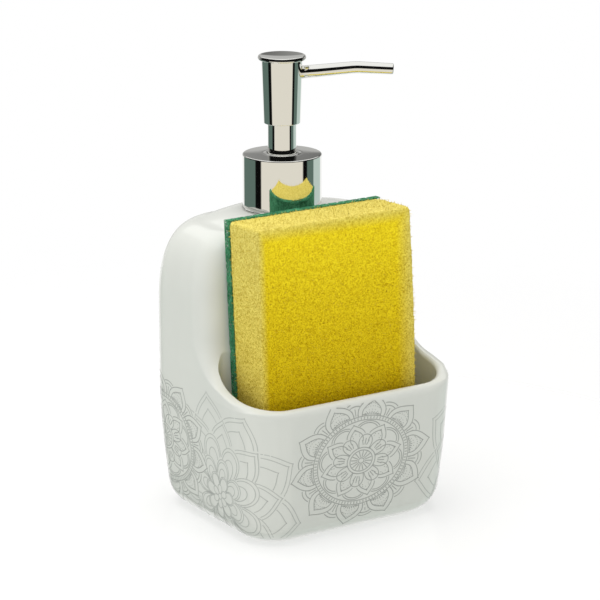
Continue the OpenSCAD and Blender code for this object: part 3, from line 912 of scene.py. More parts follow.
    def chamber(self) -> bmesh.types.BMesh:
        """Skin of the soap chamber inside the tower.

        Returns:
            The skin.
        """
        base = self.floor_t + self.chamber_floor_r
        heights = [self.floor_t + self.chamber_floor_r * s for s in (0, 0.08, 0.25, 0.5, 0.75, 1)]
        heights += [base + (self.chamber_top - base) * i / self.chamber_steps
                    for i in range(1, self.chamber_steps + 1)]
        levels = []
        for z in heights:
            side, back = self.shoulder_at(z, self.side_power), self.shoulder_at(z, self.back_power)
            i = self.foot_in(max(z, self.foot_edge_h)) + self.wall
            i_floor = self.chamber_floor_r * round_in(max(0.0, 1 - (z - self.floor_t) / self.chamber_floor_r))
            levels.append(self.level(self.half_w - i - i_floor - self.shoulder_side * side,
                                     self.tower_y(z) + self.wall + i_floor + self.shoulder_front * side,
                                     self.half_d - i - i_floor - self.shoulder_back * back,
                                     self.tower_edge_r, self.corner_r - self.wall, z))
        return loft(levels)

    def neck_hole(self) -> bmesh.types.BMesh:
        """Cutter of the round hole through the neck land."""
        low, high = self.chamber_top - self.cutter_spare, self.dome_z + self.cutter_spare
        return spun([(0, low), (self.neck_hole_r, low), (self.neck_hole_r, high), (0, high)], self.pump_y)

    def recess(self) -> bmesh.types.BMesh:
        """Cutter of the shallow recess inside the foot ring.

        Returns:
            The cutter.
        """
        i = self.foot_in(0) + self.foot_ring_w
        r = self.corner_r - i / 2
        flat = self.outline(self.half_w - i, i - self.half_d, self.half_d - i, r, r)
        return loft([[Vector((*p, z)) for p in flat] for z in (-self.cutter_spare, self.foot_recess)])

    def build(self) -> bpy.types.Object:
        """Cut the hollows from the outside and dress the body.

        Returns:
            The body's piece.
        """
        block = link_object("outside", mesh_of(self.outside(), "outside"))
        hollows = (self.tray(), self.chamber(), self.neck_hole(), self.recess())
        cutters = [link_object("cutter", mesh_of(hollow, "cutter")) for hollow in hollows]
        for cutter in cutters:
            cut = block.modifiers.new("cut", "BOOLEAN")
            cut.operation = "DIFFERENCE"
            cut.solver = "EXACT"
            cut.object = cutter
        bm = bmesh.new()
        bm.from_mesh(settled(block, *cutters))
        bmesh.ops.remove_doubles(bm, verts=bm.verts, dist=self.merge_gap)
        bmesh.ops.dissolve_degenerate(bm, edges=bm.edges, dist=self.merge_gap)
        for edge in bm.edges:
            if len(edge.link_faces) == 2 and edge.calc_face_angle(0) > self.sharp_from:
                edge.smooth = False
        return finish_mesh(bm, "ceramic_body_glazed", "bottle", Glaze(), ["ceramic_body"])


@dataclass
class Motif:
    """A round motif of the ornament in its own polar coordinates, of radius 1."""

    u: float
    z: float
    radius: float
    wide: float
    turn: float
    round_body: float

    def place(self, r: float, a: float) -> Point:
        """Point round the body and up, from the motif's polar coordinates."""
        return (self.u + self.radius * self.wide * r * math.sin(a + self.turn),
                self.z + self.radius * r * math.cos(a + self.turn))

    def polar(self, u: float, z: float) -> Point:
        """The motif's polar coordinates of a point.

        Args:
            u: the point's distance round the body.
            z: its height.

        Returns:
            Its radius and angle.
        """
        du = (u - self.u + self.round_body / 2) % self.round_body - self.round_body / 2
        x, y = du / (self.radius * self.wide), (z - self.z) / self.radius
        return math.hypot(x, y), math.atan2(x, y) - self.turn

    def strokes(self) -> list[list[Point]]:
        """The motif's strokes in its polar coordinates."""
        raise NotImplementedError

    @staticmethod
    def circle(r: float, parts: int = 96) -> list[Point]:
        """A circle about the motif's centre."""
        return [(r, math.tau * i / parts) for i in range(parts + 1)]

    @staticmethod
    def rays(start: float, end: float, count: int) -> list[list[Point]]:
        """Rays from one radius to another, all round the centre."""
        return [[(start, math.tau * i / count), (end, math.tau * i / count)] for i in range(count)]


class Petal(Enum):
    """Outline of a petal: the two powers by which its half width falls from its root to its tip."""

    ROUND = (2.2, 0.5)
    LOTUS = (2.8, 1.55)

    def width(self, s: float) -> float:
        """Half width at a share of the petal's length, as a share of that at its root."""
        inner, outer = self.value
        return max(0.0, 1 - s ** inner) ** outer


@dataclass
class PetalRing:
    """A ring of equal petals about a motif's centre."""

    count: int
    root: float
    tip: float
    outline: Petal
    spread: float = 1.0
    offset: float = 0.0
    steps: int = 14
    vein_draw: float = 0.4
    vein_fall: float = 0.12
    dot_fall: float = 0.35

    def __post_init__(self) -> None:
        """Work out the petals' pitch, half angle and length."""
        self.pitch = math.tau / self.count
        self.half = math.pi / self.count * self.spread
        self.length = self.tip - self.root

    def covers(self, r: float, a: float) -> bool:
        """Whether a point lies within a petal or inside the ring.

        Args:
            r: the point's radius.
            a: its angle.

        Returns:
            Whether it is covered.
        """
        if not self.root < r < self.tip:
            return r <= self.root
        off = (a - self.offset * self.pitch + self.pitch / 2) % self.pitch - self.pitch / 2
        return abs(off) < self.half * self.outline.width((r - self.root) / self.length)

    def middle(self, k: int) -> float:
        """Angle of a petal's middle."""
        return math.tau * (k + self.offset) / self.count

    def petal(self, k: int, size: float) -> list[Point]:
        """Outline of one petal.

        Args:
            k: number of the petal.
            size: its size as a share of the ring's petals, drawn in from the outline.

        Returns:
            Its points in polar coordinates.
        """
        left, right = [], []
        for turn in quarter(self.steps):
            s = math.sin(turn)
            r, off = self.root + self.length * size * s, self.half * size * self.outline.width(s)
            left.append((r, self.middle(k) - off))
            right.append((r, self.middle(k) + off))
        return left + right[::-1][1:]

    def petals(self, size: float = 1.0,
               hidden: Callable[[float, float], bool] | None = None) -> list[list[Point]]:
        """Outlines of all petals, split where something lies over them.

        Args:
            size: size as a share of the ring's petals.
            hidden: whether a point in polar coordinates is covered.

        Returns:
            The strokes that show.
        """
        found = []
        for k in range(self.count):
            found.append([])
            for point in self.petal(k, size):
                if hidden and hidden(*point):
                    found.append([])
                else:
                    found[-1].append(point)
        return [run for run in found if len(run) > 1]

    def fan(self, marks: int, spread: float) -> list[Point]:
        """Places fanned out inside each petal.

        Args:
            marks: places in a petal.
            spread: angle between the outer ones, as a share of the petal's.

        Returns:
            For each place its lean, from -1 to 1, and its angle.
        """
        leans = [(m / (marks - 1) - 0.5) * 2 for m in range(marks)]
        return [(lean, self.middle(k) + lean * spread * self.half)
                for k in range(self.count) for lean in leans]

    def veins(self, marks: int, start: float, end: float, spread: float) -> list[list[Point]]:
        """Short lines fanned out inside each petal.

        Args:
            marks: lines in a petal.
            start: where they start, as a share of its length.
            end: where they end, as a share of its length.
            spread: angle between the outer ones, as a share of the petal's.

        Returns:
            The strokes.
        """
        return [[(self.root + self.length * start, a - lean * spread * self.half * self.vein_draw),
                 (self.root + self.length * (end - self.vein_fall * abs(lean)), a)]
                for lean, a in self.fan(marks, spread)]

    def dots(self, marks: int, at: float, spread: float, size: float) -> list[list[Point]]:
        """Short dashes along an arc inside each petal.

        Args:
            marks: dashes in a petal.
            at: their place, as a share of its length.
            spread: angle between the outer ones, as a share of the petal's.
            size: length of a dash, as a share of the motif.

        Returns:
            The strokes.
        """
        found = []
        for lean, a in self.fan(marks, spread):
            r = self.root + self.length * at * (1 - self.dot_fall * lean * lean)
            found.append([(r, a), (r + size, a)])
        return found


class Rosette(Motif):
    """Beaded ring with a star of petals inside and lotus petals round it."""

    lotus = PetalRing(10, 0.68, 1.0, Petal.LOTUS, 0.86)
    behind = PetalRing(10, 0.68, 0.9, Petal.ROUND, 0.78, 0.5)

    def covers(self, u: float, z: float) -> bool:
        """Whether a point lies under the rosette's petals."""
        polar = self.polar(u, z)
        return self.lotus.covers(*polar) or self.behind.covers(*polar)

    def strokes(self) -> list[list[Point]]:
        """Strokes from the centre out.

        Returns:
            The strokes.
        """
        inner = PetalRing(8, 0.2, 0.4, Petal.ROUND, 0.92)
        star = PetalRing(8, 0.3, 0.58, Petal.LOTUS, 0.95, 0.5)
        far = PetalRing(8, 0.42, 0.6, Petal.ROUND, 1.0)

        def under_star(r: float, a: float) -> bool:
            """Whether the star or the inner petals cover a point."""
            return star.covers(r, a) or inner.covers(r, a)

        found = [self.circle(r) for r in (0.04, 0.16, 0.2, 0.62, 0.68)]
        found += self.rays(0.055, 0.15, 16)
        found += inner.petals() + inner.veins(3, 0.2, 0.7, 0.45)
        found += star.petals(hidden=inner.covers)
        found += [s for s in star.petals(0.72) if not inner.covers(*s[len(s) // 2])]
        found += star.dots(3, 0.62, 0.3, 0.012) + star.dots(3, 0.45, 0.3, 0.012)
        found += far.petals(hidden=under_star) + far.petals(0.84, hidden=under_star)
        found += self.rays(0.632, 0.668, 90)
        found += self.lotus.petals() + self.lotus.petals(0.7)
        for marks, at, spread in ((9, 0.42, 0.62), (5, 0.26, 0.4), (7, 0.56, 0.4)):
            found += self.lotus.dots(marks, at, spread, 0.01)
        found += self.lotus.veins(9, 0.05, 0.2, 0.7)
        for size in (1.0, 0.78):
            found += self.behind.petals(size, hidden=self.lotus.covers)
        return found + [s for s in self.behind.veins(5, 0.1, 0.6, 0.5) if not self.lotus.covers(*s[1])]


class Flower(Motif):
    """Layered flower whose rings of petals lie one behind another, each with a double outline."""

    rings = (PetalRing(6, 0.035, 0.12, Petal.ROUND, 0.95),
             PetalRing(7, 0.1, 0.24, Petal.ROUND, 1.0, 0.5),
             PetalRing(8, 0.16, 0.4, Petal.ROUND, 1.02, 0.25),
             PetalRing(9, 0.28, 0.6, Petal.ROUND, 1.04, 0.6),
             PetalRing(10, 0.44, 0.8, Petal.LOTUS, 1.15, 0.1),
             PetalRing(10, 0.6, 1.0, Petal.LOTUS, 1.25, 0.6))
    sizes = (1.0, 0.88, 0.6)

    def strokes(self) -> list[list[Point]]:
        """Strokes of all rings, each hidden where a ring nearer the centre covers it.

        Returns:
            The strokes.
        """
        found = [self.circle(0.03, 24)]
        for k, ring in enumerate(self.rings):
            nearer = self.rings[:k]

            def hidden(r: float, a: float, nearer: Sequence[PetalRing] = nearer) -> bool:
                """Whether a ring nearer the centre covers a point."""
                return any(n.covers(r, a) for n in nearer)

            for size in self.sizes[:k + 1]:
                found += ring.petals(size, hidden=hidden)
        return found


@dataclass
class Ornament:
    """Mandala rosettes and layered flowers, printed in thin lines round the foot of the body."""

    shape: CeramicBody
    fine_line: Colour = linear(181, 184, 180)
    rosette_z: float = 30.5
    rosette_r: float = 27.5
    rosette_wide: float = 1.22
    flower_r: float = 43.0
    line_w: float = 0.36
    lift: float = 0.03
    lowest: float = 2.4
    rim_gap: float = 1.6
    above_rim: float = 16.0
    reference_z: float = 30.0
    probe: float = 0.15

    def __post_init__(self) -> None:
        """Measure one side of the outline at the reference height, from the front's middle to the back's."""
        s = self.shape
        inset = s.foot_in(self.reference_z)
        r = s.corner_r - inset / 2
        half_x, half_y = s.half_w - inset - r, s.half_d - inset - r
        self.stretches = [half_x, math.pi / 2 * r, 2 * half_y, math.pi / 2 * r, half_x]
        self.perimeter = 2 * sum(self.stretches)

    def on_surface(self, u: float, z: float) -> Vector:
        """Point of the outside at a distance round the body and a height.

        Args:
            u: distance to the right of the front's middle, along the outline at the reference height.
            z: height.

        Returns:
            The point.
        """
        s = self.shape
        u = (u + self.perimeter / 2) % self.perimeter - self.perimeter / 2
        side, left, k = math.copysign(1, u), abs(u), 0
        while left > self.stretches[k] and k < len(self.stretches) - 1:
            left -= self.stretches[k]
            k += 1
        share = min(1.0, left / self.stretches[k])
        inset = s.foot_in(z)
        r = s.corner_r - inset / 2
        x, y = s.half_w - inset - r, s.half_d - inset - r
        a = math.pi / 2 * (share - 1 if k == 1 else share)
        point = ((x * share, -y - r), (x + r * math.cos(a), -y + r * math.sin(a)),
                 (x + r, -y + 2 * y * share), (x + r * math.cos(a), y + r * math.sin(a)),
                 (x * (1 - share), y + r))[k]
        return s.raised((side * point[0], point[1]), z)

    def frame_at(self, u: float, z: float) -> tuple[Vector, Vector]:
        """Point on the surface, and the outward normal there.

        Args:
            u: distance round the body.
            z: height.

        Returns:
            The point and the normal.
        """
        across = self.on_surface(u + self.probe, z) - self.on_surface(u - self.probe, z)
        upward = self.on_surface(u, z + self.probe) - self.on_surface(u, z - self.probe)
        return self.on_surface(u, z), across.cross(upward).normalized()

    def visible(self, stroke: list[Point], motif: Motif, above: Sequence[Rosette]) -> list[list[Point]]:
        """Split a stroke where the foot, the rim or a motif laid over it hides it.

        Args:
            stroke: the stroke in its motif's own polar coordinates.
            motif: the motif.
            above: motifs that lie over it.

        Returns:
            The runs that show.
        """
        runs: list[list[Point]] = [[]]
        for u, z in (motif.place(r, a) for r, a in stroke):
            near_y = self.on_surface(u, min(z, self.shape.rim_z)).y
            top = min(self.shape.crest_z(near_y) - self.rim_gap, self.shape.rim_z + self.above_rim)
            if not self.lowest <= z <= top or any(m.covers(u, z) for m in above):
                runs.append([])
            else:
                runs[-1].append((u, z))
        return [run for run in runs if len(run) > 1]

    def lay(self, bm: bmesh.types.BMesh, stroke: list[Point]) -> None:
        """Lay one stroke on the body as a ribbon.

        Args:
            bm: the bmesh that takes it.
            stroke: points round the body and up.
        """
        frames = [self.frame_at(u, z) for u, z in stroke]
        places = [p + n * self.lift for p, n in frames]
        sides = []
        for i, (_, normal) in enumerate(frames):
            along = places[min(i + 1, len(places) - 1)] - places[max(i - 1, 0)]
            if along.length < 1e-6:
                return
            sides.append(normal.cross(along).normalized() * self.line_w / 2)
        verts = [bm.verts.new(p - s) for p, s in zip(places, sides)]
        edges = [bm.edges.new(pair) for pair in zip(verts, verts[1:])]
        others, faces = extrude(bm, verts, edges)
        for other, place, side in zip(others, places, sides):
            other.co = place + side
        for face in faces:
            face.normal_update()
            if face.normal.dot(frames[0][1]) < 0 and face.normal.dot(frames[-1][1]) < 0:
                face.normal_flip()

    def piece(self, name: str, motifs: Sequence[Motif], above: Sequence[Rosette],
              finish: Finish) -> bpy.types.Object:
        """Lay the visible strokes of some motifs as one piece.

        Args:
            name: the piece's name.
            motifs: the motifs.
            above: motifs that lie over them.
            finish: the piece's finish.

        Returns:
            The piece.
        """
        bm = bmesh.new()
        for motif in motifs:
            for stroke in motif.strokes():
                for run in self.visible(stroke, motif, above):
                    self.lay(bm, run)
        return finish_mesh(bm, name, "bottle", finish)

    def build(self) -> None:
        """Lay the rosettes, and the paler flowers that they hide in part."""
        way = self.perimeter
        rosettes = [Rosette(share * way, self.rosette_z, self.rosette_r, self.rosette_wide, turn, way)
                    for share, turn in ((0, 0.18), (-1 / 3, 0.5), (1 / 3, 0.9))]
        flowers = [Flower(share * way, z, self.flower_r, 1.0, turn, way)
                   for share, z, turn in ((-0.21, 16, 0.1), (0.21, 19, 0.5), (0.5, 15, 0.3))]
        self.piece("printed_rosettes", rosettes, [], Print())
        self.piece("printed_flowers", flowers, rosettes, Print(self.fine_line, "printed_fine_line"))


@dataclass
class Pump:
    """Lotion pump: collar, head and spout outside, cylinder, stem and valves inside."""

    axis_y: float = 15.4
    turn_steps: int = 160
    play: float = 0.05
    shell_t: float = 0.4
    bead_r: float = 0.45
    edge_r: float = 0.5
    top_fall: float = 0.12
    top_steps: int = 10
    lip_r: float = 0.4
    lip_sink: float = 0.1
    lip_gap: float = 0.32
    sleeve_r: float = 5.8
    sleeve_t: float = 0.45
    head_bore_r: float = 7.0
    barrel_foot_r: float = 7.46
    barrel_foot_t: float = 1.3
    barrel_edge_r: float = 0.35
    cap_t: float = 1.8
    cap_dish: float = 0.55
    dish_steps: int = 14
    dish_edge: float = 0.15
    rim_low_r: float = 0.6
    rim_side_r: float = 1.9
    rim_turn: int = 30
    thread_turns: float = 2.2
    thread_pitch: float = 3.0
    thread_t: float = 0.22
    thread_drop: float = 10.5
    thread_steps: int = 48
    thread_run_out: int = 10
    thread_form: tuple[Point, ...] = ((-0.1, -0.62), (1, -0.2), (1, 0.2), (-0.1, 0.62))
    neck_thread_r: float = 13.55
    liner_thread_r: float = 14.05
    spout_turn: float = math.radians(33)
    spout_reach: float = 44.5
    spout_bend_at: float = 29.5
    spout_up: float = math.radians(5.4)
    spout_down: float = math.radians(2.7)
    spout_bend_r: float = 24.0
    spout_root_r: float = 2.7
    spout_tip_r: float = 2.25
    spout_bore_r: float = 1.4
    spout_drop: float = 5.9
    spout_edge_r: float = 0.5
    bore_edge: float = 0.1
    spout_steps: int = 48
    bend_steps: int = 10

    def chrome(self, profile: Sequence[Point], name: str, body: str, node: str) -> bpy.types.Object:
        """Spin a closed half profile into a chromed piece that stands for a CAD node."""
        bm = spun(profile, self.axis_y, self.turn_steps)
        return finish_mesh(bm, name, body, Chrome(), [node], Seam.PLATED)

    def collar(self) -> bpy.types.Object:
        """Chromed shell with its bead at the foot and a rounded top edge.

        Returns:
            The shell's piece.
        """
        low, high = node_mm("collar_shell")
        outer = (high.x - low.x) / 2 - self.bead_r
        inner, top, hole = outer - self.shell_t, high.z, self.sleeve_r + self.lip_gap
        edge_in = max(0.1, self.edge_r - self.shell_t)
        land = outer - self.edge_r - hole
        ways = [1 - i / self.top_steps for i in range(1, self.top_steps - 1)]
        profile = [(inner, low.z)]
        profile += arc(outer, low.z + self.bead_r, self.bead_r, -90, 90)
        profile += arc(outer - self.edge_r, top - self.top_fall - self.edge_r, self.edge_r, 0, 88)
        profile += [(hole + land * way, top - self.top_fall * way ** 2) for way in ways]
        profile += arc(hole + self.lip_r, top - self.lip_sink, self.lip_r, 10, 180, 10)
        profile += [(hole, top - self.shell_t)]
        profile += arc(inner - edge_in, top - self.shell_t - edge_in, edge_in, 90, 0)
        return self.chrome(profile, "collar_shell_plated", "collar", "collar_shell")

    def sleeve(self) -> bpy.types.Object:
        """Chromed sleeve between the collar and the head.

        Returns:
            The sleeve's piece.
        """
        low, high = node_mm("stem_sleeve")
        outer, inner = self.sleeve_r, self.sleeve_r - self.sleeve_t
        profile = [(outer, low.z), (outer, high.z), (inner, high.z), (inner, low.z)]
        return self.chrome(profile, "stem_sleeve_plated", "head", "stem_sleeve")

    def barrel(self) -> bpy.types.Object:
        """Chromed barrel of the head, its foot and top edges eased.

        Returns:
            The barrel's piece.
        """
        low, high = node_mm("head_body")
        hole, edge, foot_top = self.sleeve_r + self.play, self.barrel_edge_r, low.z + self.barrel_foot_t
        profile = [(hole, low.z)]
        profile += arc(self.barrel_foot_r - edge, low.z + edge, edge, -90, 0, 5)
        profile += [((high.x - low.x) / 2, high.z), (self.head_bore_r, high.z),
                    (self.head_bore_r, foot_top), (hole, foot_top)]
        return self.chrome(profile, "head_body_plated", "head", "head_body")

    def cap(self) -> bpy.types.Object:
        """Chromed cap: a dished disc inside a round rim.

        Returns:
            The cap's piece.
        """
        low, high = node_mm("head_cap")
        cap_r, under, plug_r = (high.x - low.x) / 2, high.z - self.cap_t, self.head_bore_r - self.play
        turn = math.radians(self.rim_turn)
        side_z = under + self.rim_low_r
        edge = (high.z - (side_z + self.rim_side_r / 2)) / (1 - math.sin(turn))
        edge_x = cap_r - self.rim_side_r * (1 - math.cos(turn)) - edge * math.cos(turn)
        profile = [(0, low.z), (plug_r, low.z), (plug_r, under)]
        profile += arc(cap_r - self.rim_low_r, side_z, self.rim_low_r, -90, 0)
        profile += arc(cap_r - self.rim_side_r, side_z, self.rim_side_r, 3, self.rim_turn)
        profile += arc(edge_x, high.z - edge, edge, self.rim_turn + 6, 96, 10)
        rim_x, rim_z = profile[-1]
        ways = [1 - i / self.dish_steps for i in range(self.dish_steps + 1)]
        profile += [((rim_x - self.dish_edge) * way, rim_z - self.cap_dish * (1 - way ** 2)) for way in ways]
        return self.chrome(profile, "head_cap_plated", "head", "head_cap")

    def spout(self) -> bpy.types.Object:
        """Chromed spout: one tapered tube, bent once, its tip softly rounded and open.

        Returns:
            The spout's piece.
        """
        axis_z = node_mm("head_body")[1].z - self.spout_drop
        up, down, bend_r = self.spout_up, self.spout_down, self.spout_bend_r
        bend = up + down
        rise = self.spout_bend_at / math.cos(up) - bend_r * math.tan(bend / 2)
        curve = bend_r * bend
        fall = (self.spout_reach - self.spout_bend_at) / math.cos(down) - bend_r * math.tan(bend / 2)
        total = rise + curve + fall
        bore_r, edge = self.spout_bore_r - self.bore_edge, self.spout_edge_r

        def taper(length: float) -> float:
            """Radius of the tube at a length."""
            return self.spout_root_r + (self.spout_tip_r - self.spout_root_r) * length / total

        def ring(length: float, radius: float) -> list[Vector]:
            """Ring of the tube.

            Args:
                length: its place along the tube's line.
                radius: its radius.

            Returns:
                Its points.
            """
            t = up - bend * clamp((length - rise) / curve)
            a, c = min(length, rise), max(0.0, length - rise - curve)
            reach = a * math.cos(up) + bend_r * (math.sin(up) - math.sin(t)) + c * math.cos(down)
            height = axis_z + a * math.sin(up) + bend_r * (math.cos(t) - math.cos(up)) - c * math.sin(down)
            round_turns = [math.tau * j / self.spout_steps for j in range(self.spout_steps)]
            return [Vector((reach - radius * math.cos(b) * math.sin(t), -radius * math.sin(b),
                            height + radius * math.cos(b) * math.cos(t))) for b in round_turns]

        lengths = [0.25 * self.head_bore_r, rise * 0.5]
        lengths += [rise + curve * i / self.bend_steps for i in range(self.bend_steps + 1)]
        lengths += [total - edge * 1.5]
        levels = [ring(length, taper(length)) for length in lengths]
        levels += [ring(total - edge * (1 - math.sin(a)), taper(total) - edge * (1 - math.cos(a)))
                   for a in quarter(6)]
        levels += [ring(total, self.spout_bore_r), ring(total - 2 * self.bore_edge, bore_r)]
        levels += [ring(length, bore_r) for length in reversed(lengths)]
        bm = loft(levels, capped=False)
        bmesh.ops.bridge_loops(bm, edges=[e for e in bm.edges if e.is_boundary])
        turned = Matrix.Rotation(-self.spout_turn, 3, "Z")
        bmesh.ops.rotate(bm, verts=bm.verts, cent=(0, 0, 0), matrix=turned)
        bmesh.ops.translate(bm, verts=bm.verts, vec=(0, self.axis_y, 0))
        bmesh.ops.recalc_face_normals(bm, faces=bm.faces)
        return finish_mesh(bm, "spout_plated", "head", Chrome(), ["spout"])

    def thread(self, root_r: float, start: float, outward: bool) -> bmesh.types.BMesh:
        """Screw thread of a few turns, its ends run out into the wall.

        Args:
            root_r: radius of the wall that carries it.
            start: angle at which it starts.
            outward: whether it stands outwards.

        Returns:
            The thread as a bmesh.
        """
        foot_z = node_mm("neck_insert")[1].z - self.thread_drop
        stand = self.thread_t if outward else -self.thread_t
        steps = int(self.thread_turns * self.thread_steps)
        levels = []
        for k in range(steps + 1):
            turn = start + math.tau * k / self.thread_steps
            z = foot_z + self.thread_pitch * k / self.thread_steps
            full = clamp(min(k, steps - k) / self.thread_run_out) * stand
            levels.append([Vector(((root_r + out * full) * math.cos(turn),
                                   (root_r + out * full) * math.sin(turn) + self.axis_y, z + rise))
                           for out, rise in self.thread_form])
        return loft(levels)

    def threads(self) -> None:
        """Threads of the neck and of the collar's liner, which just clear each other as the collar turns."""
        finish_mesh(self.thread(self.neck_thread_r, 0.0, True), "neck_thread", "bottle",
                    self.neck_plastic())
        finish_mesh(self.thread(self.liner_thread_r, math.pi, False), "liner_thread", "collar",
                    Plastic())

    def spring(self) -> bpy.types.Object:
        """Return spring in its CAD shape, riding on the pump's core.

        Returns:
            The spring's piece.
        """
        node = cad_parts["return_spring"]
        bm = bmesh.new()
        bm.from_mesh(node.data)
        bmesh.ops.transform(bm, matrix=Matrix.Scale(1 / MM, 4) @ node.matrix_world, verts=bm.verts)
        piece = finish_mesh(bm, "return_spring_wire", "pump_core", Steel(), ["return_spring"])
        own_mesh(piece)
        return piece

    @staticmethod
    def neck_plastic() -> Plastic:
        """Cream moulded plastic of the neck."""
        return Plastic(linear(226, 222, 208), 0.42, 0.0, "neck_cream")

    def build(self) -> None:
        """Build the chromed pieces, the threads and the spring, and dress the works."""
        for piece in (self.collar, self.sleeve, self.barrel, self.cap, self.spout, self.threads, self.spring):
            piece()
        moulded = ("pump_cylinder", "cylinder_cap", "collar_liner", "stem", "head_insert")
        finishes = {
            **dict.fromkeys(moulded, Plastic()),
            **dict.fromkeys(("inlet_ball", "outlet_ball"), Steel()),
            "neck_insert": self.neck_plastic(),
            "piston_seal": Plastic(linear(222, 214, 190), 0.32, 0.0, "seal_cream"),
            "dip_tube": Plastic(linear(232, 236, 236), 0.2, 0.55, "tube_clear"),
            "sealing_washer": Rubber(),
        }
        for node, finish in finishes.items():
            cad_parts[node].material_slots[0].material = finish.material()


@dataclass
class Sponge:
    """Foam block with a scouring pad on its back, leaning on the tower.

    Its own frame starts at the middle of the back of its foot.
    """

    lean: float = math.radians(3)
    tilt: float = math.radians(0.7)
    yaw: float = math.radians(1.5)
    back_y: float = -11.16
    foot_z: float = 16.225
    shift: float = 3.0
    width: float = 69.64
    height: float = 110.0
    pad_t: float = 2.8
    foam_t: float = 20.23
    seam: float = 0.05
    swell: float = 2.4
    bulge: float = 1.4
    edge_r: float = 1.2
    foot_r: float = 6.0
    squeeze_h: float = 40.9
    foam_voxel: float = 0.58
    pad_voxel: float = 0.7
    pore_size: float = 1.25
    pore_depth: float = 0.45
    skin_out: float = 0.2
    wave_h: float = 0.34
    margin_w: float = 6.0
    hairs: int = 15000
    hair_l: float = 1.15
    hair_r: float = 0.14
    hair_root: float = 0.3
    hair_taper: float = 0.7
    hair_lowest: float = 2.0
    hair_seed: int = 11
    fibres: int = 2600
    fibre_l: float = 6.0
    fibre_r: float = 0.1
    fibre_steps: int = 6
    fibre_root: float = 0.12
    fibre_reach: float = 0.65
    fibre_reach_back: float = 0.2
    fibre_out: float = 0.5
    fibre_out_back: float = 0.18
    fibre_out_front: float = 0.1
    fibre_lowest: float = 0.1
    fibre_seed: int = 5
    hem_h: float = 4.0
    hem_in: float = 0.05
    clearance: float = 0.9

    def placed(self, bm: bmesh.types.BMesh) -> None:
        """Move the sponge's own frame onto its rest in the tray.

        Args:
            bm: the bmesh in that frame, which is moved.
        """
        turn = (Matrix.Rotation(-self.yaw, 3, "Z") @ Matrix.Rotation(-self.tilt, 3, "Y")
                @ Matrix.Rotation(-self.lean, 3, "X"))
        bmesh.ops.rotate(bm, verts=bm.verts, cent=(0, 0, 0), matrix=turn)
        bmesh.ops.translate(bm, verts=bm.verts, vec=(-self.shift, self.back_y, self.foot_z))

    def soft_piece(self, bm: bmesh.types.BMesh, name: str, finish: Finish,
                   node: str) -> bpy.types.Object:
        """Place a soft part of the sponge and dress it.

        Args:
            bm: the part in the sponge's own frame, which is freed.
            name: the piece's name.
            finish: the piece's finish.
            node: the CAD node that it replaces.

        Returns:
            The piece.
        """
        self.placed(bm)
        piece = finish_mesh(bm, name, "sponge", finish, [node])
        return piece

    def fine_skin(self, bm: bmesh.types.BMesh, voxel: float) -> bmesh.types.BMesh:
        """Turn a closed skin into an even fine one.

        Args:
            bm: the skin, which is freed.
            voxel: size of its new faces.

        Returns:
            The fine skin.
        """
        block = link_object("skin", mesh_of(bm, "skin"))
        remesh = block.modifiers.new("even skin", "REMESH")
        remesh.mode = "VOXEL"
        remesh.voxel_size = voxel
        fine = bmesh.new()
        fine.from_mesh(settled(block))
        bmesh.ops.recalc_face_normals(fine, faces=fine.faces)
        fine.normal_update()
        return fine

    def strands(self, paths: Sequence[Sequence[Vector]], radius: float, sharp: bool) -> bpy.types.Mesh:
        """Thin round strands along paths.

        Args:
            paths: points of each strand.
            radius: the strands' radius.
            sharp: whether they taper towards their ends.

        Returns:
            The strands as a mesh.
        """
        web = bpy.data.curves.new("strands", "CURVE")
        web.dimensions = "3D"
        web.bevel_depth = radius
        web.bevel_resolution = 0
        for path in paths:
            spline = web.splines.new("POLY")
            spline.points.add(len(path) - 1)
            for i, (mark, place) in enumerate(zip(spline.points, path)):
                mark.co = (*place, 1)
                mark.radius = 1 - self.hair_taper * i / (len(path) - 1) if sharp else 1.0
        return settled(link_object("strands", web))

    def foam_level(self, z: float, inset: float) -> list[Vector]:
        """One level of the foam: squeezed at its foot by the tray, a little fuller above.

        Args:
            z: its height.
            inset: how far its outline is drawn in.

        Returns:
            Its points.
        """
        swing = self.bulge * math.sin(math.pi * z / self.height) / 2
        r, r_front = self.edge_r, max(self.edge_r, self.foot_r * (1 - z / self.squeeze_h))
        half = self.width / 2 + swing - inset
        front = inset - self.pad_t - self.foam_t - self.swell * z / self.height
        back = -self.pad_t - self.seam - inset
        corners = ((half - r, back - r, r, 0), (r - half, back - r, r, 90),
                   (r_front - half, front + r_front, r_front, 180),
                   (half - r_front, front + r_front, r_front, 270))
        return [Vector((x + swing, y, z)) for cx, cy, radius, start in corners
                for x, y in arc(cx, cy, radius, start, start + 90)]

    def pore(self, place: Vector) -> float:
        """Depth of the open cells at a place.

        Args:
            place: the place in the sponge's own frame.

        Returns:
            0 on a cell's wall, up to 1 in the middle of a large cell.
        """
        distances, _ = noise.voronoi(place / self.pore_size)
        cell = clamp(1.25 - 1.9 * math.sqrt(max(0.0, distances[0])))
        return cell * clamp(0.75 + 0.6 * noise.noise(place * 0.7))

    def sheen_and_torn_share(self, place: Vector, normal: Vector) -> float:
        """How much painted sheen pales the foam's skin at a place: full on its cut sides, where the cells are
        torn, and fading across the margins of its front.

        Args:
            place: the place in the sponge's own frame.
            normal: the skin's normal there.

        Returns:
            1 on the cut sides, less across the margins of the front and 0 in its middle.
        """
        side = 1 - clamp((abs(normal.y) - 0.5) * 2.6)
        half = self.width / 2
        margin = min((half + place.x) * 2.2, (half - place.x) * 0.85, (self.height - place.z) * 1.1)
        return max(side, 0.95 * clamp(1 - margin / self.margin_w) ** 1.2)

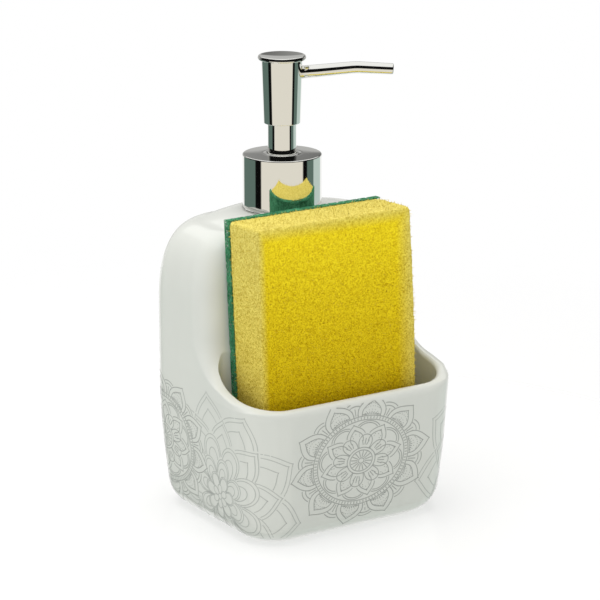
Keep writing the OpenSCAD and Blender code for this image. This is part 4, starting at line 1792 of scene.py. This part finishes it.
    def torn_walls(self, places: Sequence[tuple[Vector, Vector]],
                   chance: random.Random) -> list[list[Vector]]:
        """Short bits of torn cell wall that stand out of the foam's skin.

        Args:
            places: points of the skin and their normals.
            chance: the source of chance.

        Returns:
            Points of each bit.
        """
        paths = []
        for place, normal in chance.sample(places, min(self.hairs, len(places))):
            if normal.y > 0.5 or place.z < self.hair_lowest:
                continue
            if abs(normal.y) > 0.9 and chance.random() < 0.6:
                continue
            lean = Vector((chance.gauss(0, 0.6), chance.gauss(0, 0.6), chance.gauss(0, 0.6)))
            along = (normal + lean).normalized()
            paths.append([place - along * self.hair_root,
                          place + along * self.hair_l * chance.uniform(0.4, 1.2)])
        return paths

    def foam(self) -> bpy.types.Object:
        """Build the foam with open cells over its whole skin and torn cell walls standing out of it.

        Returns:
            The foam's piece.
        """
        edge, rounding = self.edge_r, (0, 0.15, 0.4, 1)
        top = self.height - edge
        heights = [(edge * h, edge * round_in(1 - h)) for h in rounding]
        heights += [(self.height * share, 0.0)
                    for share in (0.06, 0.12, 0.18, 0.24, 0.3, 0.36, 0.5, 0.65, 0.8, 0.9)]
        heights += [(top + edge * (1 - h), edge * round_in(1 - h)) for h in reversed(rounding)]
        bm = self.fine_skin(loft([self.foam_level(z, inset) for z, inset in heights]), self.foam_voxel)
        for layer in ("pore", "sheen_and_torn"):
            bm.verts.layers.float.new(layer)
        pores, sheen_and_torn = bm.verts.layers.float["pore"], bm.verts.layers.float["sheen_and_torn"]
        places = [(v.co.copy(), v.normal.copy()) for v in bm.verts]
        for v, (place, normal) in zip(bm.verts, places):
            depth = self.pore(place)
            rough = noise.noise(place * 1.7) * self.wave_h
            v.co = place + normal * (self.skin_out + rough - self.pore_depth * depth)
            # The cell depth is kept to paint shade in the cells.
            v[pores] = depth
            # Painted sheen: pale on the cut sides and across the margins of the front.
            v[sheen_and_torn] = self.sheen_and_torn_share(place, normal)
        skin = len(bm.verts)
        walls = self.torn_walls(places, random.Random(self.hair_seed))
        bm.from_mesh(self.strands(walls, self.hair_r, True))
        bm.verts.ensure_lookup_table()
        pores, sheen_and_torn = bm.verts.layers.float["pore"], bm.verts.layers.float["sheen_and_torn"]
        for v in bm.verts[skin:]:
            v[pores] = 0.0
            # Painted sheen on the torn cell walls, paler near the block's sides and top.
            v[sheen_and_torn] = max(0.35, 1 - clamp(min(self.width / 2 - abs(v.co.x), self.height - v.co.z) / 4))
        return self.soft_piece(bm, "foam_block", Foam(), "sponge_foam")

    def fibre_foot(self, chance: random.Random) -> tuple[Vector, Vector]:
        """Where a fibre of the pad's web leaves its sides, its top or its back.

        Args:
            chance: the source of chance.

        Returns:
            The place and the pad's normal there.
        """
        half, side = self.width / 2, chance.random()
        y = -self.pad_t * chance.random()
        if side < 0.5:
            way = -1 if side < 0.3 else 1
            return Vector((way * half, y, self.height * chance.random())), Vector((way, 0, 0))
        if side < 0.7:
            return Vector((half * chance.uniform(-1, 1), y, self.height)), Vector((0, 0, 1))
        return (Vector((half * chance.uniform(-1, 1), 0, self.height * chance.random())),
                Vector((0, 1, 0)))

    def fibre_paths(self, chance: random.Random) -> list[list[Vector]]:
        """Random curved fibres of the pad's web, in the sponge's own frame.

        Args:
            chance: the source of chance.

        Returns:
            Points of each fibre.
        """
        side, front = self.width / 2 + self.fibre_out, -self.pad_t - self.fibre_out_front
        paths = []
        for _ in range(self.fibres):
            place, normal = self.fibre_foot(chance)
            heading = Vector((chance.gauss(0, 1), chance.gauss(0, 1), chance.gauss(0, 1)))
            heading = (heading - normal * heading.dot(normal)).normalized()
            bend = normal.cross(heading) * chance.gauss(0, 0.35)
            reach = self.fibre_reach_back if normal.y > 0.5 else self.fibre_reach
            length = self.fibre_l * chance.uniform(0.4, 1.0) / self.fibre_steps
            path = []
            for i in range(self.fibre_steps + 1):
                rise = math.sin(math.pi * i / self.fibre_steps) * reach
                point = place + normal * (rise - self.fibre_root)
                path.append(Vector((min(side, max(-side, point.x)),
                                    min(self.fibre_out_back, max(front, point.y)),
                                    min(self.height + self.fibre_out, max(self.fibre_lowest, point.z)))))
                heading = (heading + bend * 0.5).normalized()
                place = place + heading * length
            if min(point.z for point in path) > self.hem_h:
                paths.append(path)
        return paths

    def pad(self) -> bpy.types.Object:
        """Build the scouring pad: a rough slab of non-woven web with loose fibres.

        Returns:
            The pad's piece.
        """
        slab = bmesh.new()
        bmesh.ops.create_cube(slab, size=1)
        bmesh.ops.scale(slab, vec=(self.width, self.pad_t, self.height), verts=slab.verts)
        bmesh.ops.translate(slab, vec=(0, -self.pad_t / 2, self.height / 2), verts=slab.verts)
        bm = self.fine_skin(slab, self.pad_voxel)
        for v in bm.verts:
            place, normal = v.co.copy(), v.normal.copy()
            rough = noise.noise(place * 0.9) * 0.3 + noise.noise(place * 2.3) * 0.26 - 0.15
            v.co = place + normal * (rough if place.z > self.hem_h else min(rough, -self.hem_in))
        fibres = self.fibre_paths(random.Random(self.fibre_seed))
        bm.from_mesh(self.strands(fibres, self.fibre_r, False))
        return self.soft_piece(bm, "scouring_web", PadWeb(), "scouring_pad")

    def build(self) -> None:
        """Build the foam and the pad."""
        self.foam()
        self.pad()


@dataclass
class Studio:
    """Camera, light and floor."""

    azimuth: float = math.radians(33.044)
    distance: float = 1.01606
    height: float = 0.36978
    pitch: float = math.radians(15.571)
    yaw: float = math.radians(0.067)
    focal_px: float = 2612.97
    frame_px: int = 600
    sensor: float = 36.0
    floor_r: float = 0.45
    aim_z: float = 0.08
    fill_low: Colour = (0.96, 1.0, 0.95)
    fill_high: Colour = (0.75, 0.74, 0.73)
    warm: Colour = (0.84, 0.8, 0.71)
    black: Colour = (0.004, 0.004, 0.004)
    moss: Colour = (0.12, 0.18, 0.155)
    pale: Colour = (0.55, 0.66, 0.62)
    white: Colour = (1.0, 1.0, 1.0)

    def camera(self) -> None:
        """Set the camera at the photograph's viewpoint."""
        data = bpy.data.cameras.new("camera")
        data.sensor_width = self.sensor
        data.lens = self.focal_px * self.sensor / self.frame_px
        data.clip_start, data.clip_end = 0.05, 50
        camera = link_object("camera", data)
        place = Vector((-self.distance * math.sin(self.azimuth), -self.distance * math.cos(self.azimuth),
                        self.height))
        heading = math.atan2(-place.y, -place.x) + self.yaw
        forward = Vector((math.cos(heading) * math.cos(self.pitch), math.sin(heading) * math.cos(self.pitch),
                          -math.sin(self.pitch)))
        camera.location = place
        camera.rotation_euler = forward.to_track_quat("-Z", "Y").to_euler()
        bpy.context.scene.camera = camera

    def floor(self) -> None:
        """Pale glossy floor, clear towards its edge, which the gloss does not reflect."""
        bm = bmesh.new()
        bmesh.ops.create_grid(bm, x_segments=1, y_segments=1, size=self.floor_r)
        floor = link_object("floor", mesh_of(bm, "floor"))
        material = bpy.data.materials.new("floor")
        material.use_nodes = True
        graph = Graph(material.node_tree)
        away = graph.add("VectorMath", {0: graph.own_place()}, operation="LENGTH").outputs["Value"]
        fade = graph.range(away, self.floor_r * 0.25, self.floor_r * 0.9, 0.55, 1.0)
        shader = graph.add("BsdfPrincipled", {"Base Color": linear(250, 250, 250), "Roughness": 0.12,
                                              "Specular IOR Level": 0.5})
        clear = graph.add("BsdfTransparent")
        surface = graph.add("MixShader", {0: fade, 1: shader.outputs[0], 2: clear.outputs[0]})
        graph.add("OutputMaterial", {"Surface": surface.outputs[0]})
        floor.data.materials.append(material)
        floor.visible_glossy = False

    @staticmethod
    def stops(edges: Sequence[tuple[float, Colour]]) -> list[tuple[float, Colour]]:
        """Hard-edged ramp stops round the horizon.

        Args:
            edges: angles in degrees from where the camera stands, and the colour from each on.

        Returns:
            The ramp's stops.
        """
        found = []
        before = None
        for degrees, colour in edges:
            at = degrees / 360 + 0.5
            if before:
                found.append((at - 0.004, before))
            found.append((at + 0.004, colour))
            before = colour
        return found

    def panels(self, graph: Graph) -> Socket:
        """The room's dark and pale panels, which only the gloss reflects.

        Args:
            graph: the world's node tree.

        Returns:
            Their colour.
        """
        direction = graph.add("TexCoord").outputs["Generated"]
        turned = graph.add("VectorRotate", {"Vector": direction, "Angle": self.azimuth},
                           rotation_type="Z_AXIS")
        x, y, z = graph.add("SeparateXYZ", {0: turned.outputs[0]}).outputs
        angle = graph.math("ARCTAN2", x, graph.math("MULTIPLY", y, -1.0))
        low = graph.ramp(graph.range(angle, -math.pi, math.pi),
                         self.stops([(-180, self.white), (-145, self.moss), (-84, self.black),
                                     (-63, self.warm), (63, self.black), (78, self.moss), (104, self.pale),
                                     (145, self.white)]))
        behind = graph.range(graph.math("ABSOLUTE", angle), 1.9, 2.5)
        roof = graph.range(behind, 0, 1, 0.73, 0.42)
        sideways = graph.range(graph.math("DIVIDE", x, graph.math("ABSOLUTE", y)), -0.07, 0.07)
        wall = graph.mix(sideways, (0.34, 0.34, 0.335), (0.1, 0.1, 0.098))
        near = graph.mix(graph.range(z, 0.2, 0.216), (0.5, 0.5, 0.49), wall)
        dark = graph.mix(behind, (0.006, 0.006, 0.006), near)
        high = graph.mix(graph.math("GREATER_THAN", z, roof), dark, (1.0, 1.0, 0.99))
        return graph.mix(graph.math("GREATER_THAN", z, -0.15), low, high)

    def fill(self, graph: Graph) -> Socket:
        """Soft light from all round, a little darker from above, as the world's colour."""
        direction = graph.add("TexCoord").outputs["Generated"]
        return graph.mix(graph.range(graph.height(direction), -0.5, 0.5), self.fill_low, self.fill_high)

    def world(self) -> None:
        """White surroundings, with the room's panels in what the gloss reflects."""
        world = bpy.data.worlds.new("studio")
        bpy.context.scene.world = world
        world.use_nodes = True
        graph = Graph(world.node_tree)
        rays = graph.add("LightPath").outputs
        fill = graph.mix(rays["Is Transmission Ray"], self.fill(graph), self.white)
        seen = graph.mix(rays["Is Glossy Ray"], fill, self.panels(graph))
        colour = graph.mix(rays["Is Camera Ray"], seen, self.white)
        shader = graph.add("Background", {"Color": colour, "Strength": 1.0})
        graph.add("OutputWorld", {"Surface": shader.outputs[0]})

    def lamp(self, name: str, place: Vector, size: float, watts: float, colour: Colour) -> None:
        """Add a soft square lamp that points at the object.

        Args:
            name: the lamp's name.
            place: where it hangs.
            size: its side.
            watts: its power.
            colour: its colour.
        """
        data = bpy.data.lights.new(name, "AREA")
        data.size = size
        data.energy = watts
        data.color = colour
        lamp = link_object(name, data)
        lamp.location = place
        lamp.rotation_euler = (Vector((0, 0, self.aim_z)) - place).to_track_quat("-Z", "Y").to_euler()
        lamp.visible_glossy = False

    def build(self) -> None:
        """Set the stage."""
        self.camera()
        self.floor()
        self.world()
        self.lamp("overhead softbox", Vector((-0.12, 0.12, 1.3)), 1.1, 12.0, (1.0, 0.995, 0.98))
        self.lamp("left softbox", Vector((-1.6, 0.0, 0.45)), 0.8, 3.1, (1.0, 1.0, 0.99))
        self.lamp("right softbox", Vector((1.1, -1.2, 0.5)), 0.8, 1.3, (0.99, 1.0, 0.98))
        bpy.context.scene.view_settings.view_transform = "Standard"


def main() -> None:
    """Build the dispenser's looks in order."""
    logging.basicConfig(level=logging.INFO, format="%(message)s")
    Studio().build()
    body = CeramicBody()
    body.build()
    Ornament(body).build()
    Pump().build()
    Sponge().build()


if __name__ == "__main__":
    main()
